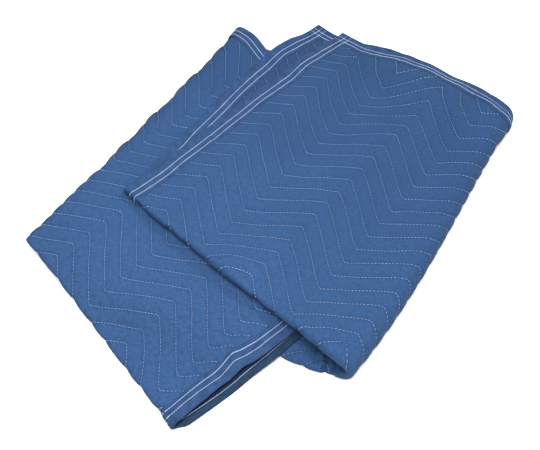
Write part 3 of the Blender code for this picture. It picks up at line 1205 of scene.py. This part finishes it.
@dataclass
class QuiltedPanel:
    """The padded cloth, with its stitched lines drawn down into it.

    The mesh's columns are counted in legs of the zigzag, and its rows lie at parts of the way from one
    stitched line to the next. The legs of the middle panel's hidden part are coarse, and those of its creased
    front corner are the finest.
    """

    pile: Pile
    quilting: Quilting
    outer_finish: QuiltedFinish
    reverse_finish: QuiltedFinish
    edge: float = 0.0017
    band_width: float = 0.038
    at_line: float = 0.0011
    outer_loft: float = 0.0042
    reverse_loft: float = 0.0022
    loft_sharpness: float = 0.62
    loft_fade: float = 0.020
    pressed_below: float = 0.0022
    fine_in_a_leg: int = 14
    coarse_in_a_leg: int = 5
    coarse_legs: tuple[int, ...] = (5, 6, 7)
    creased_in_a_leg: int = 24
    creased_legs: tuple[int, ...] = (10, 11)
    outer_rows: tuple[float, ...] = (0.0, 0.07, 0.19, 0.38, 0.62, 0.81, 0.93)
    inner_rows: tuple[float, ...] = (0.0, 0.14, 0.50, 0.86)
    fine_past_fold: int = 2
    row_margin: float = 1.1
    half_fold_turns: tuple[float, ...] = (-90.0, -45.0, 0.0, 45.0, 90.0)

    def inside_band(self, run: Array, side: Array) -> Array:
        """The distance from the binding's inner edge, into the quilted field."""
        from_end = np.minimum(run, CLOTH.length - run)
        return np.minimum(from_end, CLOTH.half_width - np.abs(side)) - self.band_width

    def half_thickness(self, run: Array, side: Array, face: Array) -> Array:
        """From the middle of the cloth to one of its faces.

        Args:
            run: how far along the blanket.
            side: how far from its middle line.
            face: 1 for the outer face and -1 for the reverse.

        Returns:
            The distances.
        """
        bulge = np.abs(np.sin(math.pi * self.quilting.line(run, side))) ** self.loft_sharpness
        loft = np.where(face > 0, self.outer_loft, self.reverse_loft) - self.at_line
        return self.at_line + loft * bulge * ease(self.inside_band(run, side) / self.loft_fade)

    def columns(self) -> list[float]:
        """The mesh's lines across the cloth.

        Returns:
            The run of each: on each zigzag corner, and close together on the flaps and folds.
        """
        leg = self.quilting.period / 2
        start = self.quilting.first_peak - 2 * leg
        found = []
        for number in range(math.ceil((CLOTH.length - start) / leg)):
            count = self.coarse_in_a_leg if number in self.coarse_legs else self.fine_in_a_leg
            count = self.creased_in_a_leg if number in self.creased_legs else count
            found += [start + leg * (number + step / count) for step in range(count)]
        found.append(start + leg * (number + 1))
        return found

    def rows(self) -> list[float]:
        """The mesh's lines along the cloth.

        Returns:
            The place of each, counted in stitched lines, and closer together in the outer ply.
        """
        reach = (CLOTH.half_width + self.quilting.swing * self.row_margin) / self.quilting.pitch
        shift = self.quilting.shift / self.quilting.pitch
        first, last = math.floor(-reach - shift), math.ceil(reach - shift)
        middle = round(-shift) + self.fine_past_fold
        fine = [number + part for number in range(first, middle) for part in self.outer_rows]
        return fine + [number + part for number in range(middle, last) for part in self.inner_rows] + [last]

    def flat_sheet(self) -> Body:
        """One flat layer whose rows follow the stitched lines.

        Returns:
            The layer, trimmed to the cloth's edge.
        """
        runs, lines = np.array(self.columns()), np.array(self.rows())
        sheet = bmesh.new()
        bmesh.ops.create_grid(sheet, x_segments=len(runs) - 1, y_segments=len(lines) - 1, size=0.5)
        sway = self.quilting.sway(runs)
        for vertex in sheet.verts:
            column = round((vertex.co.x + 0.5) * (len(runs) - 1))
            row = round((vertex.co.y + 0.5) * (len(lines) - 1))
            side = lines[row] * self.quilting.pitch + self.quilting.shift + sway[column]
            vertex.co = Vector((runs[column], side, 0.0))
        cut(sheet, (self.edge, 0.0, 0.0), (-1.0, 0.0, 0.0), trim=True)
        cut(sheet, (CLOTH.length - self.edge, 0.0, 0.0), (1.0, 0.0, 0.0), trim=True)
        cut(sheet, (0.0, self.edge - CLOTH.half_width, 0.0), (0.0, -1.0, 0.0), trim=True)
        cut(sheet, (0.0, CLOTH.half_width - self.edge, 0.0), (0.0, 1.0, 0.0), trim=True)
        self.cut_half_fold(sheet)
        return sheet

    def cut_half_fold(self, sheet: Body) -> None:
        """Cuts lines round the half fold, where the nudged cloth lies on it, so that it comes out round.

        Args:
            sheet: the flat layer.
        """
        sewn = sheet.verts.layers.float_vector.new("sewn")
        places = np.array([vertex.co[:] for vertex in sheet.verts])
        moved = self.pile.drawn_in(places[:, 0], places[:, 1])[1]
        for vertex, side in zip(sheet.verts, moved):
            vertex[sewn] = vertex.co
            vertex.co.y = side
        for turn in self.half_fold_turns:
            cut(sheet, (0.0, self.pile.half_fold_radius * math.radians(turn), 0.0), (0.0, 1.0, 0.0))
        for vertex in sheet.verts:
            vertex.co = vertex[sewn]

    def body(self) -> Body:
        """The outer face and the reverse, one unit above and below.

        Returns:
            Both, joined round the edge.
        """
        body = self.flat_sheet()
        copy = bmesh.ops.duplicate(body, geom=body.verts[:] + body.edges[:] + body.faces[:])["geom"]
        lower = [item for item in copy if isinstance(item, bmesh.types.BMFace)]
        below = {item for item in copy if isinstance(item, bmesh.types.BMVert)}
        for vertex in body.verts:
            vertex.co.z = -1.0 if vertex in below else 1.0
        for face in lower:
            face.material_index = 1
        rim = [edge for edge in body.edges if edge.is_boundary]
        bmesh.ops.bridge_loops(body, edges=rim)
        bmesh.ops.recalc_face_normals(body, faces=body.faces[:])
        return body

    def build(self) -> Piece:
        """Builds the panel in its folds.

        Returns:
            The object.
        """
        piece = FlatMesh("quilted_cloth", self.body())
        run, side, face = piece.points.T
        place, outward = self.pile.folded(run, side)
        place = place + outward * (face * self.half_thickness(run, side, face))[:, None]
        in_field = self.inside_band(run, side) > 0.0
        place[(place[:, 2] < self.pressed_below) & in_field, 2] = 0.0
        place[:, 2] = np.maximum(place[:, 2], 0.0)
        piece.add_map(FLAT_MAP, run, side)
        piece.add_map(LINE_MAP, run * self.quilting.stretch(), self.quilting.line(run, side))
        finishes = [self.outer_finish.material(self.quilting), self.reverse_finish.material(self.quilting)]
        return piece.placed(place, finishes)


@dataclass
class Binding:
    """The edging: a strip folded over the cloth's edge, drawn down under its two rows of stitches.

    Its section goes over the cloth, round the edge and back under it, and then along a channel that holds the
    cloth. The lines of the section and of the channel are so far in from the edge.
    """

    pile: Pile
    finish: BindingFinish
    width: float = 0.038
    inside: float = 0.0014
    outside: float = 0.0031
    rows: Pair = (0.018, 0.030)
    draw_down: float = 0.0010
    row_reach: float = 0.0030
    lip: float = 0.0011
    lip_width: float = 0.006
    rim: float = 0.0030
    lines_in_mm: tuple[float, ...] = (
        38.0, 36.5, 34.0, 32.0, 30.0, 28.0, 26.0, 24.0, 22.0, 20.0,
        18.0, 16.0, 13.5, 10.0, 6.5, 3.5, 1.8, 0.7, 0.15,
    )
    channel_end: float = 0.0012
    channel_lines: tuple[float, ...] = (0.010, 0.022, 0.034)
    column: float = 0.0070
    uneven: float = 0.0006
    uneven_turn: float = 47.0
    merged: float = 0.00001
    pressed_below: float = 0.0008

    def outer_height(self, inward: Array) -> Array:
        """The outer surface above the middle of the cloth.

        Args:
            inward: the distances in from the edge.

        Returns:
            The heights.
        """
        height = np.full(inward.shape, self.outside)
        for row in self.rows:
            height = height - self.draw_down * np.exp(-(((inward - row) / self.row_reach) ** 2))
        height = height - self.lip * ease((inward - self.width + self.lip_width) / self.lip_width)
        return height * np.sqrt(np.clip(1.0 - (1.0 - inward / self.rim).clip(0.0) ** 2, 0.0, 1.0))

    def section(self) -> tuple[Array, Array]:
        """The section, closed.

        Returns:
            How far in from the edge each of its points is, and how high.
        """
        inward = np.array(self.lines_in_mm) * 0.001
        height = self.outer_height(inward)
        channel_in = np.array([self.channel_end, *self.channel_lines, self.width])
        channel = np.where(channel_in > self.channel_end, self.inside, 0.0)
        around_in = [inward, [0.0], inward[::-1], channel_in[:0:-1], channel_in, inward[:1]]
        around_up = [height, [0.0], -height[::-1], -channel[:0:-1], channel, height[:1]]
        return np.concatenate(around_in), np.concatenate(around_up)

    def ring(self) -> tuple[Array, Array, Array]:
        """The columns round the cloth.

        Returns:
            Which of its edges each is on, the share of the way along that edge, and the edge's length.
        """
        hems, shares, lengths = [], [], []
        for number, length in enumerate((CLOTH.length, CLOTH.width) * 2):
            count = round(length / self.column)
            hems += [number] * count
            shares += [step / count for step in range(count)]
            lengths += [length] * count
        return np.array(hems + [number]), np.array(shares + [1.0]), np.array(lengths + [length])

    def body(self) -> Body:
        """The ring laid flat, with mitred corners.

        Returns:
            The ring, with its height above the middle of the cloth.
        """
        hems, shares, lengths = self.ring()
        inward_of, height_of = self.section()
        body = bmesh.new()
        across, around = len(hems) - 1, len(inward_of) - 1
        bmesh.ops.create_grid(body, x_segments=across, y_segments=around, size=0.5)
        starts = np.array([[0, -1], [1, -1], [1, 1], [0, 1]]) * np.array([CLOTH.length, CLOTH.half_width])
        ways = np.array([[1, 0], [0, 1], [-1, 0], [0, -1]])
        inner = np.array([[0, 1], [-1, 0], [0, -1], [1, 0]])
        for vertex in body.verts:
            column = round((vertex.co.x + 0.5) * across)
            step = round((vertex.co.y + 0.5) * around)
            hem, length = hems[column], lengths[column]
            turn = shares[column] * length * self.uneven_turn + hem
            wobble = self.uneven * math.sin(turn) * inward_of[step] / self.width
            inward = inward_of[step] + wobble
            along = inward + shares[column] * (length - 2 * inward)
            run, side = starts[hem] + ways[hem] * along + inner[hem] * inward
            vertex.co = Vector((run, side, height_of[step]))
        bmesh.ops.remove_doubles(body, verts=body.verts[:], dist=self.merged)
        bmesh.ops.recalc_face_normals(body, faces=body.faces[:])
        return body

    def build(self) -> Piece:
        """Builds the binding in its folds.

        Returns:
            The object.
        """
        piece = FlatMesh("stitched_binding", self.body())
        run, side, height = piece.points.T
        place, outward = self.pile.folded(run, side)
        place = place + outward * height[:, None]
        place[place[:, 2] < self.pressed_below, 2] = 0.0
        piece.add_map(FLAT_MAP, run, side)
        return piece.placed(place, [self.finish.material()])


@dataclass
class StitchRow:
    """Stitches in a row: their middles on the flat blanket, their headings and their size."""

    run: Array
    side: Array
    heading: Array
    face: Face
    length: float
    thickness: Array
    surface: float

    @property
    def outward(self) -> float:
        """1 on the outer face and -1 on the reverse."""
        return float(self.face.value)


@dataclass
class Stitches:
    """Many short stitches, each a small closed capsule half sunk in the cloth."""

    name: str
    pile: Pile
    finish: ThreadFinish
    rows: list[StitchRow]
    rise: float = 0.50
    droop: float = 0.65
    pressed_below: float = 0.0004

    def capsules(self, count: int) -> Body:
        """Copies of one capsule along the first axis, numbered in a layer.

        Args:
            count: how many.

        Returns:
            The copies, all in one place.
        """
        body = bmesh.new()
        turn = Matrix.Rotation(math.pi / 2, 4, "Y")
        number = body.verts.layers.int.new("number")
        bmesh.ops.create_uvsphere(body, u_segments=5, v_segments=3, radius=0.5, matrix=turn)
        made = 1
        while made < count:
            copied = min(made, count - made)
            verts = [vertex for vertex in body.verts if vertex[number] < copied]
            chosen = set(verts)
            faces = [face for face in body.faces if face.verts[0] in chosen]
            edges = [edge for edge in body.edges if edge.verts[0] in chosen]
            copy = bmesh.ops.duplicate(body, geom=verts + edges + faces)["geom"]
            for item in copy:
                if isinstance(item, bmesh.types.BMVert):
                    item[number] += made
            made += copied
        return body

    def gathered(self, key: str, number: Array) -> Array:
        """One value of all the rows' stitches, for the stitch that each point belongs to.

        Args:
            key: the value's name.
            number: the number of each point's stitch.

        Returns:
            The value at each point.
        """
        parts = [np.broadcast_to(getattr(row, key), row.run.shape) for row in self.rows]
        return np.concatenate(parts).astype(float)[number]

    def build(self) -> Piece:
        """Builds the stitches in the folds.

        Returns:
            The object.
        """
        body = self.capsules(sum(len(row.run) for row in self.rows))
        layer = body.verts.layers.int["number"]
        number = np.array([vertex[layer] for vertex in body.verts])
        piece = FlatMesh(self.name, body)
        along, across, up = piece.points.T
        thickness, heading = self.gathered("thickness", number), self.gathered("heading", number)
        turned = self.gathered("outward", number)
        along_cloth, over_cloth = along * self.gathered("length", number), across * thickness * turned
        cosine, sine = np.cos(heading), np.sin(heading)
        run = self.gathered("run", number) + along_cloth * cosine - over_cloth * sine
        side = self.gathered("side", number) + along_cloth * sine + over_cloth * cosine
        sunk = self.rise - self.droop * (2 * along) ** 2
        offset = turned * (self.gathered("surface", number) + (up + sunk) * thickness)
        place, outward = self.pile.folded(run, side)
        place = place + outward * offset[:, None]
        place[:, 2] = np.maximum(place[:, 2], self.pressed_below)
        piece.add_map(FLAT_MAP, run, side)
        return piece.placed(place, [self.finish.material()])


@dataclass
class QuiltStitching:
    """The zigzag rows of one ply. Their first stitches are staggered from line to line."""

    quilting: Quilting
    ply: Ply
    surface: float = 0.0011
    pitch: float = 0.0066
    length: float = 0.0055
    thickness: float = 0.0013
    steep_thickness: float = 0.0010
    band_width: float = 0.038
    first_gap: float = 0.5
    stagger: float = 0.37
    staggered_lines: int = 3
    probe: float = 0.001

    def row(self, number: int, face: Face, runs: Pair) -> StitchRow:
        """The stitches of one line.

        Args:
            number: the line's number.
            face: the face of the cloth that they are on.
            runs: the stretch of the cloth that they are on.

        Returns:
            The row, which is empty where the line misses this ply.
        """
        quilting = self.quilting
        step = self.pitch / quilting.stretch()
        start = self.band_width + step * (self.first_gap + self.stagger * (number % self.staggered_lines))
        run = np.arange(start, CLOTH.length - self.band_width, step)
        side = quilting.shift + number * quilting.pitch + quilting.sway(run)
        kept = (np.abs(side) < CLOTH.half_width - self.band_width) & (side * self.ply.value >= 0)
        kept = kept & (run > runs[0]) & (run < runs[1])
        run, side = run[kept], side[kept]
        slope = (quilting.sway(run + self.probe) - quilting.sway(run - self.probe)) / (2 * self.probe)
        thickness = np.where(slope * self.ply.value > 0, self.steep_thickness, self.thickness)
        return StitchRow(run, side, np.arctan(slope), face, self.length, thickness, self.surface)

    def rows(self, face: Face, runs: Pair) -> list[StitchRow]:
        """The stitches of each line that crosses this ply.

        Args:
            face: the face of the cloth that they are on.
            runs: the stretch of the cloth that they are on.

        Returns:
            A row for each line.
        """
        reach = CLOTH.half_width - self.band_width + self.quilting.swing
        first = math.floor((-reach - self.quilting.shift) / self.quilting.pitch)
        last = math.ceil((reach - self.quilting.shift) / self.quilting.pitch)
        found = [self.row(number, face, runs) for number in range(first, last + 1)]
        return [row for row in found if len(row.run)]


@dataclass
class HemStitching:
    """The two straight rows along each edge, through all the layers."""

    binding: Binding
    pitch: float = 0.0040
    length: float = 0.0043
    thickness: float = 0.0016

    def row(self, hem: Hem, inward: float, face: Face) -> StitchRow:
        """One row along one hem.

        Args:
            hem: which edge of the cloth.
            inward: how far in from it.
            face: the face of the cloth that the stitches are on.

        Returns:
            The row.
        """
        whole = CLOTH.width if hem.at_end else CLOTH.length
        along = np.arange(self.pitch, whole - self.pitch, self.pitch)
        if hem.at_end:
            side = along - CLOTH.half_width
            run = np.full(along.shape, inward if hem is Hem.FIRST_END else CLOTH.length - inward)
        else:
            run = along
            near = CLOTH.half_width - inward
            side = np.full(along.shape, near if hem is Hem.INNER_SIDE else -near)
        heading = np.full(along.shape, math.pi / 2 if hem.at_end else 0.0)
        thickness = np.full(along.shape, self.thickness)
        surface = float(self.binding.outer_height(np.array([inward]))[0])
        return StitchRow(run, side, heading, face, self.length, thickness, surface)

    def rows(self) -> list[StitchRow]:
        """Both rows on both faces of every hem."""
        return [self.row(hem, inward, face) for hem in Hem for inward in self.binding.rows for face in Face]


@dataclass(frozen=True)
class SoftLight:
    """A round soft light that looks at the middle of the floor."""

    name: str
    place: Triple
    size: float
    power: float

    def hang(self) -> None:
        """Hangs the light, unseen by the camera."""
        light = bpy.data.lights.new(self.name, "AREA")
        light.shape, light.size, light.energy = "DISK", self.size, self.power
        lamp = shown(self.name, light)
        lamp.location = self.place
        lamp.rotation_euler = (-Vector(self.place)).to_track_quat("-Z", "Y").to_euler()
        lamp.visible_camera = False


@dataclass
class Studio:
    """The floor, the soft lights and the camera."""

    target: Triple = (-0.03, -0.07, 0.0)
    distance: float = 1.4462
    elevation: float = 60.235
    lens: float = 46.83
    sensor: float = 36.0
    floor_size: float = 14.0
    floor: FloorFinish = FloorFinish()
    lights: tuple[SoftLight, ...] = (
        SoftLight("back_light", (7.2, 4.7, 8.3), size=4.0, power=990.0),
        SoftLight("top_light", (0.0, 0.0, 2.5), size=1.2, power=59.0),
        SoftLight("near_light", (-0.3, -0.55, 1.5), size=0.8, power=27.0),
    )
    sky: Colour = (1.0, 1.0, 1.0, 1.0)
    sky_strength: float = 0.34

    def lay_floor(self) -> None:
        """Lays the floor."""
        body = bmesh.new()
        bmesh.ops.create_grid(body, x_segments=1, y_segments=1, size=self.floor_size / 2)
        mesh = mesh_of("floor", body)
        mesh.materials.append(self.floor.material())
        shown("floor", mesh)

    def set_lights(self) -> None:
        """Hangs the soft lights, and lights the rest from all round."""
        for light in self.lights:
            light.hang()
        world = bpy.data.worlds.new("soft_room")
        world.use_nodes = True
        background = world.node_tree.nodes["Background"]
        background.inputs["Color"].default_value = self.sky
        background.inputs["Strength"].default_value = self.sky_strength
        bpy.context.scene.world = world

    def set_camera(self) -> None:
        """Stands the camera in front, looking down."""
        camera = bpy.data.cameras.new("camera")
        camera.lens, camera.sensor_width = self.lens, self.sensor
        holder = shown("camera", camera)
        tilt = math.radians(self.elevation)
        back = Vector((0.0, -math.cos(tilt), math.sin(tilt))) * self.distance
        holder.location = Vector(self.target) + back
        holder.rotation_euler = (math.pi / 2 - tilt, 0.0, 0.0)
        bpy.context.scene.camera = holder
        bpy.context.scene.view_settings.view_transform = "Standard"

    def build(self) -> None:
        """Builds the studio."""
        self.lay_floor()
        self.set_lights()
        self.set_camera()


OUTER_CLOTH = QuiltedFinish(
    "blue_quilted_cloth",
    light=(0.0254, 0.0626, 0.1500, 1.0),
    dark=(0.0160, 0.0434, 0.1070, 1.0),
    tint=(0.0160, 0.0377, 0.0956, 1.0),
    mottle=0.6,
)
REVERSE_CLOTH = QuiltedFinish(
    "blue_reverse_cloth",
    light=(0.0196, 0.0485, 0.1115, 1.0),
    dark=(0.0122, 0.0324, 0.0776, 1.0),
    tint=(0.0234, 0.0428, 0.1058, 1.0),
    mottle=0.9,
)
EDGING = BindingFinish(
    "blue_binding_cloth", light=(0.0238, 0.0540, 0.1290, 1.0), dark=(0.0137, 0.0344, 0.0870, 1.0)
)
THREAD = ThreadFinish(
    "pale_blue_thread", light=(0.232, 0.338, 0.560, 1.0), dark=(0.150, 0.240, 0.450, 1.0)
)
HEM_THREAD = ThreadFinish(
    "pale_hem_thread", light=(0.520, 0.605, 0.760, 1.0), dark=(0.385, 0.475, 0.640, 1.0)
)

# The inner ply's reverse shows no further than this from the two end hems.
REVERSE_SHOWN = 0.15

# The draws and heights are pairs of a place along the hem and how far the cloth moves there.
HEM_DRAWS = (
    HemDraw(Hem.FIRST_END, reach=0.06, draws=(
        (-0.45, 0.0), (-0.3, -0.008), (-0.254, -0.0115), (-0.202, -0.0087), (-0.17, -0.004), (-0.157, 0.003),
        (-0.12, 0.001), (-0.05, 0.003), (-0.01, 0.003), (0.002, 0.006), (0.014, -0.007), (0.03, -0.007),
        (0.09, -0.006), (0.16, -0.006), (0.25, -0.0075), (0.4, 0.0),
    )),
    HemDraw(Hem.FIRST_END, reach=0.018, start=0.0, draws=(
        (0.0, 0.0), (0.02, 0.003), (0.05, 0.004), (0.09, 0.005), (0.3, 0.004), (0.4, 0.0),
    )),
    HemDraw(Hem.LAST_END, reach=0.12, draws=(
        (-0.686, 0.0), (-0.64, 0.0), (-0.55, 0.009), (-0.46, 0.0125), (-0.38, 0.006), (-0.29, 0.003),
        (-0.2, 0.0), (-0.1, -0.003), (0.0, -0.007), (0.1, 0.004), (0.17, 0.01), (0.245, 0.011), (0.33, 0.01),
        (0.43, 0.009), (0.5, 0.009), (0.56, 0.007), (0.64, -0.002), (0.686, 0.0),
    )),
    HemDraw(Hem.OUTER_SIDE, reach=0.13, draws=(
        (0.4, 0.0), (0.5, -0.002), (0.585, -0.008), (0.66, 0.004), (0.72, 0.01), (0.85, 0.01), (0.95, 0.0),
        (1.24, -0.002), (1.3, -0.005), (1.344, -0.005), (1.39, -0.001), (1.44, -0.007), (1.49, -0.013),
        (1.55, -0.016), (1.6, -0.016), (1.65, -0.013), (1.7, 0.003), (1.75, 0.014), (1.8, 0.01),
        (1.829, 0.007),
    )),
    HemDraw(Hem.OUTER_SIDE, reach=0.032, start=0.0, draws=(
        (1.28, 0.0), (1.33, 0.006), (1.36, 0.008), (1.4, 0.005), (1.46, 0.0),
    )),
    HemDraw(Hem.INNER_SIDE, reach=0.13, draws=(
        (0.4, 0.0), (0.5, -0.002), (0.585, -0.008), (0.66, 0.004), (0.72, 0.01), (0.85, 0.01), (0.95, 0.0),
        (1.3, 0.0), (1.53, -0.007), (1.64, -0.015), (1.7, 0.003), (1.75, 0.015), (1.8, 0.018),
        (1.829, 0.016),
    )),
)
LIFTS = (
    Lift(Hem.FIRST_END, reach=0.085, heights=(
        (-0.32, 0.0), (-0.24, 0.004), (-0.16, 0.016), (-0.1, 0.02), (-0.05, 0.013), (-0.02, 0.012),
        (-0.0063, 0.01), (0.0, 0.004), (0.0063, 0.0),
    )),
    Lift(Hem.FIRST_END, reach=0.085, heights=(
        (0.01, 0.0), (0.04, -0.004), (0.09, -0.005), (0.32, -0.004), (0.42, 0.0),
    )),
    Lift(Hem.FIRST_END, reach=0.03, heights=(
        (0.01, 0.0), (0.04, 0.005), (0.14, 0.006), (0.2, 0.01), (0.32, 0.01), (0.42, 0.0),
    )),
    Lift(Hem.OUTER_SIDE, reach=0.032, heights=(
        (1.26, 0.0), (1.34, -0.006), (1.42, -0.009), (1.5, -0.003), (1.6, -0.003), (1.68, -0.004),
        (1.72, 0.0),
    )),
)

# A crease has its two ends, its width and its depth.
CREASES = (
    # Puckers by the outer side hem, near the last end.
    Crease((1.722, -0.650), (1.703, -0.612), 0.0060, 0.0030),
    Crease((1.700, -0.648), (1.672, -0.600), 0.0065, 0.0028),
    Crease((1.655, -0.652), (1.650, -0.622), 0.0060, 0.0030),
    Crease((1.739, -0.646), (1.734, -0.618), 0.0055, 0.0022),
    # A fold at the last end, with its ridge.
    Crease((1.829, -0.232), (1.775, -0.214), 0.0060, 0.0022),
    Crease((1.829, -0.222), (1.780, -0.200), 0.0060, -0.0020),
    # A fold at the first end, with its ridge, and the puckers inside that hem.
    Crease((0.000, -0.157), (0.060, -0.166), 0.0060, 0.0030),
    Crease((0.000, -0.172), (0.050, -0.184), 0.0070, -0.0026),
    Crease((0.046, -0.118), (0.070, -0.098), 0.0030, 0.0014),
    Crease((0.044, -0.132), (0.078, -0.110), 0.0030, 0.0016),
    Crease((0.048, -0.146), (0.084, -0.126), 0.0034, 0.0016),
    Crease((0.046, -0.172), (0.096, -0.150), 0.0034, 0.0018),
    Crease((0.046, -0.080), (0.062, -0.064), 0.0030, 0.0012),
    # The hollow and the gathers at the middle panel's front corner.
    Crease((1.160, 0.046), (1.214, 0.024), 0.0120, 0.0040),
    Crease((1.178, 0.014), (1.155, 0.036), 0.0040, 0.0095),
    Crease((1.189, 0.012), (1.169, 0.030), 0.0040, -0.0110),
    Crease((1.203, 0.001), (1.174, 0.036), 0.0038, 0.0105),
    Crease((1.208, 0.010), (1.187, 0.032), 0.0040, -0.0110),
    Crease((1.220, 0.006), (1.199, 0.028), 0.0042, 0.0095),
    # A ridge along the inner ply's first end.
    Crease((0.012, 0.020), (0.013, 0.095), 0.0050, -0.0030),
)
# A nudge has its middle, its reach along and over the cloth, and its push along, over and outward.
NUDGES = (
    # The top flap's cloth, in its middle and by its side hem.
    Nudge((1.650, -0.600), (0.108, 0.180), (-0.004, 0.028, 0.0)),
    Nudge((1.400, -0.450), (0.140, 0.200), (0.0, 0.006, 0.0)),
    Nudge((1.480, -0.640), (0.060, 0.060), (0.009, 0.004, 0.0)),
    # The top flap's half fold, and the front tip.
    Nudge((1.565, -0.010), (0.050, 0.060), (0.010, -0.011, 0.004)),
    Nudge((1.335, -0.010), (0.055, 0.060), (0.006, -0.002, 0.003)),
    Nudge((1.305, -0.018), (0.030, 0.026), (0.0035, -0.0045, 0.0)),
    Nudge((1.270, -0.010), (0.013, 0.015), (0.0045, 0.0075, 0.0)),
    Nudge((1.297, -0.022), (0.012, 0.012), (0.0025, -0.0035, 0.0)),
    # The left fold, and the lines' ends by the first end's hem.
    Nudge((0.500, -0.400), (0.060, 0.120), (-0.010, 0.007, 0.0)),
    Nudge((0.040, -0.140), (0.018, 0.120), (0.0, -0.0108, 0.0)),
    Nudge((0.024, -0.140), (0.012, 0.120), (0.0, 0.0070, 0.0)),
)


def declare(piece: Piece, node: str) -> None:
    """Says what a piece rides on, hides the solid that it stands for, and logs its faces.

    Args:
        piece: the piece.
        node: the solid.
    """
    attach(piece, "root")
    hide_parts(node)
    LOG.info("%s: %d faces", piece.name, len(piece.data.polygons))


def main() -> None:
    """Builds the studio and the blanket."""
    logging.basicConfig(level=logging.INFO, format="%(name)s %(message)s")
    pile, quilting = Pile(draws=HEM_DRAWS, lifts=LIFTS, creases=CREASES, nudges=NUDGES), Quilting()
    Studio().build()

    panel = QuiltedPanel(pile, quilting, OUTER_CLOTH, REVERSE_CLOTH).build()
    declare(panel, "quilted_panel")

    binding = Binding(pile, EDGING)
    edging = binding.build()
    declare(edging, "binding")

    whole = (0.0, CLOTH.length)
    outer_rows = QuiltStitching(quilting, Ply.OUTER).rows(Face.OUTER, whole)
    outer = Stitches("outer_ply_stitches", pile, THREAD, outer_rows).build()
    declare(outer, "quilted_panel")

    inner_ply = QuiltStitching(quilting, Ply.INNER)
    inner_rows = inner_ply.rows(Face.OUTER, whole)
    for ends in ((0.0, REVERSE_SHOWN), (CLOTH.length - REVERSE_SHOWN, CLOTH.length)):
        inner_rows += inner_ply.rows(Face.REVERSE, ends)
    inner = Stitches("inner_ply_stitches", pile, THREAD, inner_rows).build()
    declare(inner, "quilted_panel")

    hems = Stitches("hem_stitches", pile, HEM_THREAD, HemStitching(binding).rows()).build()
    declare(hems, "binding")

    bpy.context.view_layer.update()


if __name__ == "__main__":
    main()
